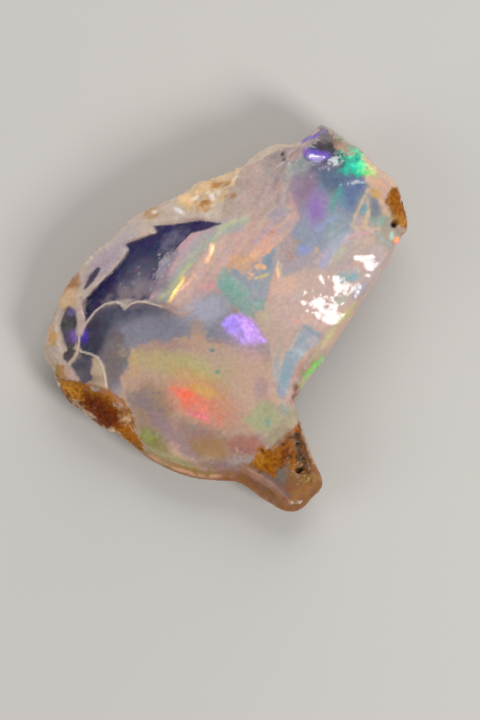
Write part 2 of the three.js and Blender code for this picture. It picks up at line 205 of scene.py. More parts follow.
# What the face shows from above, painted one over another.
FACE = [
    # The milky ground between the breaks.
    glow("warm middle", (1.9, 8.1), (4.8, 3.7), 55, "#c5a598", soft=2.5),
    glow("pale shoulder", (1.0, 10.1), (2.5, 1.2), 50, "#b3a198", soft=1.4),
    glow("rosy shoulder", (3.4, 11.4), (3.5, 1.4), 62, "#b69d94", soft=1.4),
    area("hackled shoulder", [(2.5, 13.9), (3.9, 14.6), (6.2, 14.8), (6.7, 13.4), (6.2, 11.6), (5.5, 9.4),
         (4.5, 9.2), (4.0, 10.7), (3.4, 12.2)], "#a0908b", soft=1.0, torn=0.3),
    vein("tan beside the rim", [(1.5, 12.3), (0.9, 11.2), (0.3, 10.2), (0.0, 9.1)], 0.33, "#bca58f", soft=1.0,
         torn=0.5),
    glow("freckle beside the rim", (0.6, 10.1), (0.29, 0.29), 0, "#b07a40", soft=0.35, torn=0.08),
    glow("warm slope of the middle", (0.9, 6.2), (1.8, 0.83), 50, "#d2ab9b", soft=1.2),
    # The bands beside the window, drawn out along the ridges.
    vein("rose band", [(-6.1, 1.4), (-5.1, 3.6), (-4.1, 5.1), (-3.0, 6.6), (-1.5, 7.5)], 0.42, "#cba3a6",
         soft=0.6, torn=0.15),
    vein("lilac band", [(-5.5, 1.4), (-4.2, 3.7), (-3.0, 5.4), (-1.7, 6.6), (-0.5, 7.5), (1.0, 7.6)], 0.5,
         "#b5a9ad", soft=0.7, torn=0.15),
    vein("green band", [(-5.0, 1.6), (-3.7, 3.6), (-2.4, 5.3), (-1.4, 6.3), (0.0, 7.4), (1.7, 8.1)], 0.29,
         "#a9b3a5", soft=0.6, torn=0.12),
    vein("peach ridge", [(-4.3, 1.1), (-3.2, 2.4), (-2.2, 3.7), (-1.5, 4.7), (-0.3, 5.9)], 0.5, "#d5b0a4",
         soft=0.7, torn=0.15),
    vein("rose ridge", [(-2.6, 1.4), (-1.8, 2.6), (-1.0, 3.1), (0.0, 4.7), (0.9, 6.1)], 0.5, "#d0a8a0",
         soft=0.8, torn=0.2),
    glow("rose patch on the ridge", (-4.6, 4.1), (0.75, 0.33), 60, "#d2999a", soft=0.5, torn=0.15),
    glow("rose patch at the foot", (-1.3, 2.5), (0.83, 0.42), 5, "#dba4a2", soft=0.6, torn=0.15),
    vein("lower yellow-green line", [(-5.5, 1.5), (-4.5, 2.5), (-3.6, 3.6), (-2.9, 4.5)], 0.13, "#c3c590",
         soft=0.35, torn=0.08),
    vein("upper yellow-green line", [(-1.0, 5.9), (-0.7, 6.7), (-0.4, 7.4), (0.5, 7.9), (1.5, 8.1)], 0.17,
         "#bcc098", soft=0.4, torn=0.08),
    vein("long gold streak", [(-4.6, 1.4), (-4.2, 2.1), (-3.8, 2.6), (-3.4, 3.3)], 0.12, "#ffd470", soft=0.3,
         torn=0.1),
    glow("core of the gold streak", (-4.0, 2.4), (0.67, 0.13), 55, "#fff08e", soft=0.15),
    vein("second gold streak", [(-4.0, 2.1), (-3.2, 2.8), (-2.6, 3.5)], 0.1, "#f4bb8c", soft=0.25, torn=0.12),
    vein("upper gold streak", [(-1.5, 4.7), (-1.2, 5.3), (-1.1, 6.0)], 0.17, "#ffc896", soft=0.3, torn=0.1),
    glow("core of the upper streak", (-1.1, 5.6), (0.42, 0.1), 70, "#fff2b4", soft=0.15),
    vein("lip of the ridge", [(-5.5, 1.2), (-4.6, 1.0), (-4.0, 0.4), (-3.3, 0.3), (-2.7, 1.0), (-1.6, 1.8),
         (-0.8, 2.3)], 0.22, "#cda697", soft=0.35, torn=0.1),
    # The stepped edge in the middle and the lilac places behind it.
    area("lilac step", [(3.4, 8.5), (4.6, 9.3), (5.5, 8.9), (4.9, 8.1), (3.9, 7.5)], "#aa9ca5", soft=0.5,
         torn=0.15),
    area("lower lilac step", [(3.2, 7.1), (4.3, 7.4), (5.4, 8.1), (4.9, 7.3), (3.8, 6.5)], "#b69fa8",
         soft=0.4, torn=0.2),
    vein("lilac streak", [(2.4, 6.1), (3.0, 6.6), (3.5, 7.3)], 0.18, "#b8a0b2", soft=0.4, torn=0.2),
    glow("peach step", (3.2, 6.1), (1.2, 0.5), 47, "#dcaa98", soft=0.6, torn=0.25),
    vein("peach edge", [(5.4, 10.2), (5.5, 9.2), (5.9, 8.3), (5.3, 7.4), (4.6, 6.7), (4.1, 6.0)], 0.2,
         "#d0a898", soft=0.35, torn=0.2),
    vein("lower peach edge", [(1.9, 3.3), (2.9, 4.5), (3.5, 5.4), (4.2, 6.2), (4.9, 7.0)], 0.13, "#dcae9a",
         soft=0.3, torn=0.15),
    vein("rose line of the edge", [(5.6, 9.8), (5.8, 8.9), (6.2, 8.1), (5.9, 7.4), (5.1, 6.8), (4.3, 6.1)],
         0.075, "#e2a88e", soft=0.2, torn=0.15),
    vein("rose line under the step", [(3.7, 7.2), (4.4, 7.6), (5.2, 8.3), (5.9, 8.6)], 0.058, "#d8a490",
         soft=0.2, torn=0.15),
    vein("line in the lilac step", [(3.5, 7.7), (4.3, 8.2), (5.1, 8.7)], 0.058, "#c9a09c", soft=0.2,
         torn=0.15, strength=0.8),
    vein("edge to the plateau", [(4.2, 6.1), (4.4, 4.9), (4.4, 3.4)], 0.22, "#cfa692", soft=0.35, torn=0.2),
    glow("gold at the foot of the edge", (4.4, 4.0), (0.5, 0.22), 90, "#f3c987", soft=0.35, torn=0.1),
    glow("apricot grit", (0.9, 4.6), (0.92, 0.5), 15, "#dfb08a", soft=0.5, torn=0.55),
    glow("apricot grit above", (2.2, 5.1), (0.75, 0.42), 35, "#dfb191", soft=0.5, torn=0.5),
    glow("ochre fleck in the middle", (3.8, 7.1), (0.18, 0.15), 0, "#c48a66", soft=0.2, torn=0.1),
    glow("ochre fleck below", (1.9, 5.1), (0.2, 0.15), 20, "#cf9a66", soft=0.2, torn=0.1),
    glow("ochre fleck on the shoulder", (5.6, 10.6), (0.17, 0.13), 20, "#a97f5e", soft=0.2, torn=0.1),
    # The right side.
    area("plateau", [(4.4, 3.3), (6.2, 3.6), (8.0, 4.3), (9.9, 5.7), (12.2, 6.9), (13.9, 6.2), (12.5, 3.6),
         (10.4, 1.4), (8.4, -0.8), (6.2, -0.2), (5.0, -2.2), (4.2, -3.9), (3.2, -2.6), (3.0, -0.5),
         (3.5, 1.6)], "#ccada1", soft=0.9, torn=0.15),
    glow("peach plateau", (4.9, 2.7), (1.2, 0.75), 20, "#d8b09d", soft=1.0, torn=0.2),
    glow("yellow plateau", (3.2, 0.1), (0.58, 1.2), 0, "#c9b79c", soft=0.8, torn=0.2),
    glow("peach beside the facet", (4.2, -2.2), (0.92, 2.2), -8, "#caac9e", soft=1.0, torn=0.2),
    glow("upper slope", (9.9, 5.1), (1.8, 0.75), 38, "#b9a8a1", soft=1.0, torn=0.2),
    glow("grey slope", (12.6, 5.2), (1.7, 0.75), 62, "#bcaba8", soft=1.0, torn=0.2),
    glow("teal on the slope", (10.4, 3.4), (0.75, 0.42), 12, "#84b1b9", soft=0.6, torn=0.3),
    glow("lilac on the slope", (11.1, 2.4), (1.1, 0.42), 48, "#a3a2b2", soft=0.7, torn=0.3),
    glow("green shade on the slope", (9.6, 1.5), (0.75, 0.33), 45, "#b7b9a6", soft=0.7, torn=0.3),
    glow("peach slope", (7.3, -0.2), (1.5, 0.58), -12, "#d8b3a3", soft=0.8, torn=0.2),
    glow("straw slope", (8.4, -1.7), (0.83, 0.42), 45, "#ccb996", soft=0.6, torn=0.2),
    vein("worn edge above the notch", [(9.9, 0.9), (9.1, -0.2), (8.4, -1.2), (7.7, -2.4)], 0.29, "#c6a894",
         soft=0.6, torn=0.2),
    glow("rose fleck", (5.9, -0.2), (0.33, 0.17), 0, "#dfa08c", soft=0.3),
    # The hollow break in the lower half.
    area("hollow break", BASIN, "#af9990", soft=0.25),
    area("grey-blue haze", [(-10.8, -0.9), (-8.3, 0.8), (-5.0, 0.9), (-3.6, 0.1), (-1.7, 2.1), (-0.3, 1.9),
         (0.4, 0.6), (0.9, -1.8), (-2.1, -2.2), (-3.8, -2.2), (-5.1, -2.6), (-6.3, -2.6), (-7.3, -3.3),
         (-7.8, -4.4), (-8.6, -5.5), (-9.8, -6.4), (-10.5, -4.7)], "#93909c", soft=1.4, torn=0.25),
    glow("pale haze", (-1.7, 0.7), (2, 1.1), 20, "#b3b1c0", soft=1.2, torn=0.3),
    # Painted shade: the clear depth of the hollow break is painted indigo, near black at its left.
    glow("indigo depth", (-10.2, -0.3), (2.8, 1.2), 36, "#2a2740", soft=1.6, torn=0.15),
    glow("indigo under the crest", (-7.8, 0.5), (2.7, 0.92), 6, "#58576c", soft=1.4, torn=0.15),
    glow("indigo at the left", (-11.1, -2.2), (1.2, 2.2), -12, "#3a384b", soft=1.2, torn=0.2),
    glow("slate beside the cloud", (-6.3, -0.8), (2.5, 1), 4, "#8d8a98", soft=1.4, torn=0.2),
    glow("wine shade", (-9.0, -1.4), (0.58, 0.42), 20, "#6a5158", soft=0.8, torn=0.3, strength=0.7),
    glow("green shade in the depth", (-8.3, -3.4), (0.42, 1), -10, "#626b62", soft=0.9, torn=0.3,
         strength=0.7),
    glow("smoky brown", (-9.6, -4.1), (1.1, 2.5), -20, "#7b6e6e", soft=1.2, torn=0.25),
    area("peach cloud", [(-8.1, -3.3), (-7.4, -2.6), (-6.8, -2.0), (-5.8, -1.8), (-5.0, -2.0), (-3.6, -1.5),
         (-3.0, -1.2), (-2.6, -0.6), (-2.3, -0.6), (-1.9, -1.2), (-1.3, -1.6), (-0.3, -1.9), (0.9, -2.4),
         (3.0, -2.6), (3.9, -3.9), (3.9, -5.4), (4.7, -6.6), (3.9, -8.3), (2.2, -9.9), (-0.1, -11.4),
         (-2.6, -12.2), (-5.5, -11.4), (-7.5, -9.3), (-8.6, -6.4), (-8.7, -5.1)], "#c8a58e", soft=0.4,
         torn=0.45),
    glow("feather of the cloud", (-2.5, -0.4), (0.42, 0.75), 0, "#b09a92", soft=0.6, torn=0.7, strength=0.8),
    glow("rosy cloud", (-5.3, -2.6), (2.5, 0.75), 2, "#b9948b", soft=0.8, torn=0.35),
    glow("apricot edge of the cloud", (-7.6, -3.7), (0.5, 1), 0, "#cfa982", soft=0.5, torn=0.3),
    glow("peach below the flash", (-0.3, -3.6), (2.8, 1.2), -8, "#cbae98", soft=1.3, torn=0.3),
    glow("peach right of the fire", (2.0, -5.3), (2, 2.2), 0, "#cfac97", soft=1.4, torn=0.3),
    glow("mauve right of the fire", (3.0, -5.8), (0.58, 0.83), -20, "#c19f9d", soft=0.8, torn=0.3),
    glow("yellow-green glow", (-4.0, -3.8), (3.3, 0.92), -10, "#c5ba81", soft=1.2, torn=0.3),
    glow("olive glow", (-2.5, -4.9), (2, 0.58), -15, "#d1ba75", soft=0.9, torn=0.3),
    glow("peach breath over the cloud", (-5.0, -3.7), (1.8, 0.7), -15, "#c8a07c", soft=1.0, torn=0.5,
         strength=0.4),
    glow("tan ground", (-6.3, -7.6), (2, 2.2), -20, "#aa8a74", soft=1.2, torn=0.4),
    glow("mauve speckle", (-7.1, -6.9), (1, 0.75), -30, "#948187", soft=0.7, torn=0.6, strength=0.8),
    glow("mauve speckle below", (-5.7, -8.3), (1, 0.58), -35, "#9d848e", soft=0.7, torn=0.6, strength=0.8),
    glow("orange halo", (-2.0, -6.9), (2.8, 1.7), -30, "#dd997b", soft=1.8, torn=0.4),
    glow("coral halo", (-2.6, -6.8), (1.8, 1), -35, "#ee8c74", soft=1.5, torn=0.45, strength=0.85),
    glow("yellow edge of the fire", (-2.1, -5.9), (1.3, 0.42), -15, "#e1b467", soft=0.9, torn=0.3),
    glow("coral round the red fire", (-3.1, -6.5), (1, 0.67), -35, "#ff815f", soft=1.0, torn=0.45,
         strength=0.75),
    glow("red fire", (-3.3, -6.4), (0.75, 0.42), -45, "#fb6c52", soft=0.8, torn=0.45),
    glow("second red fire", (-2.2, -7.4), (0.67, 0.33), -35, "#ee7a6c", soft=0.8, torn=0.5, strength=0.7),
    glow("crimson fire", (-2.1, -8.0), (0.75, 0.33), -20, "#e07480", soft=0.8, torn=0.45),
    glow("magenta spot in the fire", (-2.7, -7.8), (0.33, 0.25), -30, "#d46a8c", soft=0.5, torn=0.3,
         strength=0.7),
    glow("mauve under the fire", (-2.1, -9.6), (2.8, 0.83), -22, "#a8857c", soft=1.2, torn=0.3),
    area("violet flash", [(-0.3, -0.4), (0.4, 0.1), (1.2, 0.4), (2.0, 0.1), (2.7, -0.8), (3.4, -1.9),
         (2.4, -2.1), (1.4, -1.9), (0.8, -1.4), (0.2, -0.9)], "#c79af6", soft=0.6, torn=0.2),
    glow("blue half of the flash", (0.6, -0.6), (0.75, 0.58), -30, "#a58af8", soft=0.7, torn=0.15),
    glow("pale half of the flash", (2.0, -0.9), (0.83, 0.42), -48, "#d3a4ff", soft=0.5, torn=0.1),
    vein("dark fold of the flash", [(0.2, -0.7), (1.0, -0.8), (1.4, -1.4), (1.2, -1.7)], 0.17, "#9a7ad8",
         soft=0.4, torn=0.1),
    glow("violet fringe", (1.5, -1.9), (1.7, 0.83), -30, "#c0a0cc", soft=1.4, strength=0.45),
    glow("teal freckle", (-1.1, -2.6), (0.22, 0.15), 0, "#6a9195", soft=0.2),
    glow("second teal freckle", (-0.7, -4.4), (0.22, 0.17), 0, "#8aa58c", soft=0.2),
    glow("third teal freckle", (-2.8, -9.0), (0.18, 0.13), 0, "#84927c", soft=0.2),
    area("green facet", [(1.6, -8.4), (2.4, -7.4), (3.1, -6.7), (4.1, -7.1), (4.6, -8.4), (3.9, -9.6),
         (2.7, -9.4)], "#b4b289", soft=0.6, torn=0.2),
    glow("teal fleck in the facet", (3.5, -8.5), (0.2, 0.42), 20, "#90aa98", soft=0.3, torn=0.1),
    area("rusty facet", [(0.0, -10.2), (1.0, -9.6), (2.2, -9.6), (3.4, -10.3), (3.0, -11.1), (1.7, -11.4),
         (0.4, -11.3)], "#b3796a", soft=0.9, torn=0.35),
    glow("pale ring in the facet", (0.9, -10.9), (0.21, 0.21), 0, "#c99a88", soft=0.2),
    glow("lilac shade at the foot", (-2.6, -11.1), (1, 0.58), -20, "#8f7b84", soft=0.9, torn=0.4,
         strength=0.8),
    glow("mauve slope at the foot", (-3.9, -10.1), (2.1, 0.67), -42, "#a2878a", soft=0.9, torn=0.4,
         strength=0.85),
    glow("tan ground at the foot", (-1.2, -10.8), (1.7, 1), -10, "#ac8250", soft=1.1, torn=0.4,
         strength=0.85),
    glow("lime patch", (-6.2, -10.2), (1.6, 0.75), -35, "#847a44", soft=1.0, torn=0.4),
    glow("bright lime", (-6.6, -9.9), (0.83, 0.33), -35, "#939c44", soft=0.8, torn=0.5, strength=0.9),
    glow("amber foot", (-0.9, -12.8), (7.9, 0.75), -4, "#986a36", soft=0.9, torn=0.3),
    glow("lime line at the foot", (-3.8, -11.8), (2.2, 0.29), -18, "#a39a62", soft=0.6, torn=0.3,
         strength=0.8),
    glow("mauve at the foot", (0.2, -12.3), (2, 0.42), -8, "#94797a", soft=0.7, torn=0.3, strength=0.7),
    vein("tan band of the foot", [(-7.3, -10.7), (-5.2, -11.9), (-3.1, -12.7), (-1.0, -12.9)], 0.25,
         "#967843", soft=0.8, torn=0.3, strength=0.8),
    vein("green-grey line of the foot", [(-7.5, -10.0), (-5.5, -11.2), (-3.4, -12.2), (-1.1, -12.4)], 0.075,
         "#9da07a", soft=0.3, torn=0.25, strength=0.7),
    vein("peach line of the foot", [(-6.3, -11.5), (-4.2, -12.5), (-2.1, -13.1), (0.0, -13.1), (1.7, -13.7)],
         0.083, "#cf9c7a", soft=0.3, torn=0.25),
    vein("rose line of the foot", [(-3.0, -11.9), (-1.5, -12.6), (0.4, -12.4), (2.2, -12.6)], 0.075,
         "#b58a88", soft=0.3, torn=0.25),
    # A painted shadow along the lower edge of the foot.
    vein("brown edge of the foot", [(-7.3, -11.0), (-5.5, -12.3), (-3.4, -13.2), (-1.6, -13.5), (0.6, -13.5),
         (2.2, -14.2)], 0.083, "#7d4d20", soft=0.35, torn=0.2),
    # The hollow under the ledge of skin, its clear opal painted near black as painted shade, darkest in a
    # painted shadow under the ledge.
    area("window", WINDOW, "#251e50", soft=0.12, torn=0.03),
    glow("violet depth", (-10.1, 2.8), (1.5, 0.5), 44, "#1c0056", soft=0.9),
    glow("navy under the ledge", (-7.5, 5.1), (2, 0.75), 36, "#262455", soft=1.0, torn=0.1),
    glow("smoky window", (-7.1, 3.6), (1.8, 0.92), 36, "#5a536a", soft=1.5, torn=0.15),
    glow("milky haze in the window", (-6.4, 2.6), (1.7, 0.67), 12, "#877a86", soft=1.1, torn=0.2),
    glow("brown haze in the window", (-8.5, 2.3), (0.83, 0.5), 25, "#605867", soft=0.9, torn=0.2),
    vein("haze behind the crest", [(-9.5, 1.2), (-8.3, 1.6), (-7.1, 1.4)], 0.25, "#9c8c8e", soft=0.8,
         torn=0.5, strength=0.7),
    glow("dusty haze above the crest", (-7.8, 2.0), (1.2, 0.5), 5, "#8f8084", soft=0.9, torn=0.5,
         strength=0.8),
    glow("white haze in the window", (-4.3, 6.4), (1.1, 0.5), 42, "#6e6880", soft=0.9, torn=0.35),
    glow("pale haze above", (-3.5, 6.7), (0.58, 0.25), 38, "#58526c", soft=0.6, torn=0.4, strength=0.7),
    glow("grey foot of the bands", (-4.7, 4.6), (0.42, 1.6), -32, "#867d8d", soft=0.7, torn=0.25),
    glow("frost in the window", (-4.8, 4.7), (0.75, 0.21), 50, "#a8a0a8", soft=0.35, torn=0.6),
    glow("frost below", (-5.3, 3.9), (0.58, 0.15), 55, "#9f95a4", soft=0.3, torn=0.6),
    # The three-cornered chip.
    area("blue-grey chip", [(4.1, 6.0), (4.2, 4.9), (4.0, 3.9), (3.7, 3.1), (3.5, 2.2), (3.3, 1.4),
         (3.1, 0.7), (2.4, 0.6), (2.2, 1.4), (1.9, 2.2), (1.3, 2.9), (0.4, 3.5), (0.5, 4.1), (0.9, 4.1),
         (1.3, 3.7), (1.9, 4.0), (2.6, 4.6), (3.0, 5.0), (3.6, 5.5)], "#97a0ab", soft=0.2, torn=0.08),
    glow("slate point of the chip", (3.6, 4.6), (1, 0.33), 62, "#8795a8", soft=0.5),
    area("teal chip", [(-0.1, 4.3), (0.4, 3.6), (1.3, 3.1), (2.0, 2.2), (2.3, 1.3), (2.4, 0.1), (1.8, 0.1),
         (0.9, 0.9), (0.1, 1.7), (-0.7, 2.6), (-0.6, 3.4)], "#93b1a9", soft=0.35, torn=0.1),
    glow("deep teal", (0.5, 2.5), (1, 0.42), -42, "#86b3a6", soft=0.8),
    glow("green-grey foot of the chip", (2.7, 1.1), (0.42, 0.42), 10, "#94b3a6", soft=0.5),
    glow("orange shimmer in the chip", (2.4, 2.2), (0.75, 0.33), 60, "#b3a6a2", soft=0.5, torn=0.5,
         strength=0.5),
    glow("slate in the chip", (1.2, 3.6), (0.67, 0.25), -35, "#8c98a6", soft=0.4, torn=0.2),
    vein("gold thread", [(1.2, 3.9), (1.5, 3.6), (1.9, 3.3), (2.1, 3.3)], 0.075, "#eab489", soft=0.2,
         torn=0.1),
    vein("second gold thread", [(1.8, 3.7), (2.2, 4.1), (2.7, 4.4), (3.1, 4.3), (3.2, 4.1)], 0.083, "#f2b988",
         soft=0.2, torn=0.12),
    vein("third gold thread", [(2.4, 3.3), (2.9, 3.4), (3.4, 3.6)], 0.092, "#dcc489", soft=0.2, torn=0.12),
    vein("fourth gold thread", [(0.5, 4.7), (0.9, 4.6), (1.3, 5.0), (1.7, 4.7)], 0.12, "#e0a878", soft=0.25,
         torn=0.25),
    vein("fifth gold thread", [(1.7, 4.3), (2.2, 4.1), (2.0, 3.6), (2.5, 3.4)], 0.075, "#f4b88e", soft=0.2,
         torn=0.15),
    vein("sixth gold thread", [(2.6, 4.1), (2.9, 4.4), (3.3, 4.2)], 0.067, "#f6be8e", soft=0.18, torn=0.15),
    vein("seventh gold thread", [(0.4, 4.7), (0.9, 5.1), (1.5, 4.7), (2.2, 5.1), (2.9, 4.8)], 0.092,
         "#ebb68e", soft=0.25, torn=0.3),
    vein("eighth gold thread", [(0.8, 4.2), (1.4, 4.0), (1.8, 3.3)], 0.067, "#eab28a", soft=0.2, torn=0.2),
    vein("ninth gold thread", [(3.0, 5.1), (3.5, 5.5), (3.9, 6.0)], 0.075, "#eeae90", soft=0.2, torn=0.25),
    glow("gold speck", (2.2, 3.6), (0.25, 0.12), 40, "#f6c28c", soft=0.2, torn=0.15),
    glow("second gold speck", (1.6, 4.2), (0.25, 0.1), 20, "#d9a06a", soft=0.2, torn=0.2),
    # The broad face at the upper right.
    area("sky face", SKY_FACE, "#9497a4", soft=0.6, torn=0.12),
    glow("slate", (9.2, 11.6), (2.5, 1.4), -15, "#596a83", soft=1.6, torn=0.15),
    glow("steel blue", (10.5, 10.2), (1.2, 1.4), 0, "#607397", soft=1.2, torn=0.15),
    glow("lower grey-blue", (7.7, 7.2), (2.3, 1.1), 8, "#9198aa", soft=1.5, torn=0.2),
    glow("lower grey-green", (9.2, 7.6), (1, 1.1), 0, "#909fa8", soft=1.0, torn=0.2),
    glow("plum", (6.4, 10.9), (1.1, 2), -6, "#8d768b", soft=1.4, torn=0.15),
    glow("purple", (7.5, 9.1), (0.75, 1.25), -6, "#9674b4", soft=1.3, torn=0.1),
    glow("green-grey corner", (6.1, 12.6), (0.75, 0.75), 0, "#848b88", soft=1.0, torn=0.2),
    vein("blue brush", [(7.5, 7.2), (8.2, 7.9), (8.9, 8.3)], 0.12, "#9aa4d0", soft=0.6, torn=0.3,
         strength=0.7),
    glow("teal streak", (9.4, 10.5), (0.5, 0.18), 80, "#45a593", soft=0.35, torn=0.1),
    glow("lower teal streak", (8.9, 9.6), (0.67, 0.2), 80, "#5a9f93", soft=0.5, torn=0.1),
    glow("teal shade", (9.6, 9.8), (0.5, 0.67), 0, "#6a93a0", soft=0.9, strength=0.7),
    glow("blue spot", (6.4, 5.6), (0.5, 0.42), 0, "#8e98c8", soft=0.6, torn=0.15),
    glow("grey-rose foot", (6.2, 4.6), (1.7, 0.58), 4, "#ab9fa2", soft=0.8, torn=0.3),
    glow("peach speckle", (5.1, 5.7), (0.75, 1.2), -8, "#b59b93", soft=0.8, torn=0.6, strength=0.8),
    glow("ochre dash", (7.5, 5.6), (0.33, 0.11), 58, "#d2aa7c", soft=0.2),
    glow("ochre fleck on the sky face", (5.9, 6.3), (0.22, 0.1), 10, "#a88e6a", soft=0.2),
    vein("lilac-blue rim", [(8.2, 4.7), (8.6, 5.5), (9.2, 6.2), (10.0, 6.7)], 0.38, "#a8aebf", soft=0.8,
         torn=0.15),
    glow("violet spot", (8.1, 4.8), (0.33, 0.5), 0, "#b2a8ca", soft=0.6, torn=0.2),
    vein("straw rim", [(8.6, 4.6), (9.2, 5.1), (9.8, 5.7)], 0.17, "#bcbba0", soft=0.5, torn=0.15,
         strength=0.8),
    vein("rose rim", [(10.2, 6.6), (10.9, 6.9), (11.7, 7.1), (12.3, 7.2)], 0.15, "#cda4a4", soft=0.4,
         torn=0.15),
    # The bowl under the tip and the emerald fire beside it.
    area("dark bowl", [(6.4, 13.7), (7.1, 14.5), (8.0, 15.0), (8.9, 14.9), (9.8, 14.3), (10.5, 13.6),
         (10.4, 12.9), (9.7, 12.5), (8.7, 12.2), (7.7, 12.4), (6.7, 13.0)], "#4a4450", soft=0.9, torn=0.2),
    glow("brown top of the bowl", (7.9, 14.6), (1.1, 0.33), -4, "#564a4c", soft=0.7, torn=0.3),
    glow("green-black corner", (9.5, 13.9), (0.75, 0.67), -35, "#3f4a4a", soft=0.8, torn=0.1),
    vein("violet shade of the bowl", [(6.1, 14.7), (6.7, 15.0), (7.3, 14.9)], 0.12, "#594a86", soft=0.5),
    vein("violet floor of the bowl", [(6.6, 13.8), (7.1, 13.7), (7.7, 13.6), (8.4, 13.5)], 0.33, "#6d53b8",
         soft=0.5, torn=0.1),
    vein("lilac core of the bowl", [(6.9, 13.4), (7.4, 13.2), (8.0, 13.3)], 0.17, "#b3a0e0", soft=0.4,
         torn=0.1),
    glow("grey floor of the bowl", (8.2, 12.6), (1.2, 0.33), 5, "#6a6880", soft=0.7),
    *[vein(f"shell line {number}", course, 0.05, colour, soft=0.22, torn=0.15, strength=0.5)
      for number, (colour, course) in enumerate(SHELL_LINES, start=1)],
    glow("dim emerald", (10.2, 13.4), (1, 1), -40, "#3a6f66", soft=1.1, torn=0.4),
    glow("patch of green above", (9.6, 14.8), (0.5, 0.25), -40, "#5f9f86", soft=0.5, torn=0.3),
    area("emerald fire", [(10.1, 13.9), (10.6, 14.4), (11.1, 14.1), (11.4, 13.6), (11.9, 12.8), (11.8, 12.0),
         (10.9, 11.9), (10.0, 12.1), (9.8, 12.4), (10.4, 12.7), (10.0, 13.2)], "#129a80", soft=0.4, torn=0.4),
    glow("teal heart of the emerald", (10.7, 12.6), (0.5, 0.33), -20, "#14c2a4", soft=0.5, torn=0.2),
    glow("core of the emerald", (11.4, 12.6), (0.33, 0.42), 20, "#35e8a8", soft=0.5, torn=0.35),
    glow("upper emerald", (10.9, 13.9), (0.42, 0.21), -50, "#50bf8c", soft=0.4, torn=0.3),
    glow("turquoise left of the emerald", (9.8, 12.2), (0.6, 0.3), 10, "#2fa596", soft=0.5, torn=0.5),
    area("lime fire", [(11.4, 13.4), (11.8, 13.0), (12.4, 12.4), (12.5, 12.1), (11.9, 11.9), (11.7, 12.6)],
         "#80c272", soft=0.4, torn=0.3),
    glow("lime below the emerald", (11.9, 12.1), (0.67, 0.38), -35, "#7cc466", soft=0.5, torn=0.4),
    glow("straw fire", (12.3, 12.4), (0.5, 0.25), -40, "#c0c478", soft=0.4, torn=0.3),
    glow("coral grit beside the emerald", (9.8, 14.3), (0.5, 0.25), -35, "#b08c74", soft=0.4, torn=0.4),
    vein("coral edge", [(9.2, 14.7), (9.9, 14.2), (10.5, 13.7)], 0.29, "#ab8a74", soft=0.5, torn=0.6),
    vein("cream edge", [(11.5, 13.5), (12.3, 12.8), (13.1, 12.1), (13.9, 11.2)], 0.22, "#cfb096", soft=0.4,
         torn=0.25),
    vein("lilac line to the tip", [(6.4, 14.7), (7.3, 15.1), (8.2, 15.6)], 0.16, "#6650a8", soft=0.25,
         torn=0.1),
    glow("grey tip", (8.1, 15.9), (0.75, 0.29), -5, "#a3949a", soft=0.5, torn=0.3),
    glow("sooty tip", (8.4, 15.3), (0.75, 0.5), -20, "#6e6466", soft=0.6, torn=0.5),
    # The right corner.
    glow("cream corner", (13.4, 7.6), (1.3, 1.8), 0, "#a89a8a", soft=0.9, torn=0.35),
    glow("dusk in the corner", (12.3, 9.3), (0.67, 1.2), -10, "#7d838e", soft=0.7, torn=0.25),
    glow("dusk left of the veins", (10.9, 9.3), (0.33, 1.2), -25, "#848c98", soft=0.7, torn=0.2),
    glow("teal drop between the veins", (11.5, 9.0), (0.54, 0.21), 95, "#6ba6ad", soft=0.3),
    vein("left vein", [(11.8, 10.7), (11.3, 9.7), (10.9, 8.9), (10.5, 7.8), (10.9, 7.4)], 0.17, "#c7b293",
         soft=0.3, torn=0.15),
    vein("middle vein", [(11.7, 10.1), (11.9, 9.0), (11.5, 7.7), (12.1, 7.3), (12.7, 7.5)], 0.15, "#cdb597",
         soft=0.3, torn=0.15),
    vein("right vein", [(11.9, 11.6), (12.6, 10.9), (13.0, 9.6), (13.4, 8.7)], 0.27, "#cdae93", soft=0.4,
         torn=0.25),
    glow("coral patch", (12.8, 11.2), (0.83, 0.38), -38, "#d5a88e", soft=0.5, torn=0.3),
    glow("green shade at the corner", (12.9, 8.1), (0.75, 0.38), 10, "#8da699", soft=0.5, torn=0.3),
    vein("teal line at the corner", [(12.5, 7.2), (13.0, 6.6), (13.7, 6.0)], 0.1, "#93b0ad", soft=0.3,
         torn=0.15),
    glow("ochre freckle", (12.5, 10.4), (0.5, 0.33), 0, "#c99c60", soft=0.35, torn=0.3),
    area("brown corner", [(13.9, 10.9), (14.4, 10.7), (14.6, 9.9), (14.9, 9.1), (15.3, 8.1), (15.1, 7.4),
         (14.5, 7.6), (14.1, 8.1), (13.7, 8.6), (13.5, 9.2), (13.2, 9.6), (13.4, 10.2)], "#96590a", soft=0.3,
         torn=0.4),
    glow("gold in the brown corner", (14.4, 8.1), (0.42, 0.58), 0, "#b27a2e", soft=0.5, torn=0.6),
    glow("cream in the brown corner", (13.5, 8.9), (0.17, 0.33), 20, "#c09864", soft=0.4, torn=0.6,
         strength=0.6),
    glow("gold left of the brown corner", (12.6, 10.5), (0.5, 0.21), 10, "#c9a06a", soft=0.4, torn=0.4),
    glow("orange spark", (14.2, 6.6), (0.25, 0.25), 0, "#ffa26e", soft=0.2),
    glow("rose spark", (14.4, 6.3), (0.25, 0.21), 0, "#ff8d7c", soft=0.2),
    glow("pale green spark", (13.8, 6.9), (0.33, 0.17), 80, "#b9dccb", soft=0.3),
    # Beside the notch.
    area("dull blue facet", [(6.3, -0.4), (6.9, -0.8), (8.0, -1.3), (7.5, -2.2), (6.7, -2.8), (6.2, -3.6),
         (5.7, -4.6), (5.1, -6.3), (4.5, -5.4), (4.1, -4.4), (4.0, -3.4), (4.9, -2.8), (5.5, -1.9)],
         "#a4acb6", soft=0.35, torn=0.15),
    glow("blue shade in the facet", (6.4, -1.4), (0.75, 0.42), 50, "#98a7b3", soft=0.6, torn=0.2),
    glow("blue stroke", (4.9, -4.8), (1.2, 0.42), 78, "#8da6b0", soft=0.7, torn=0.3),
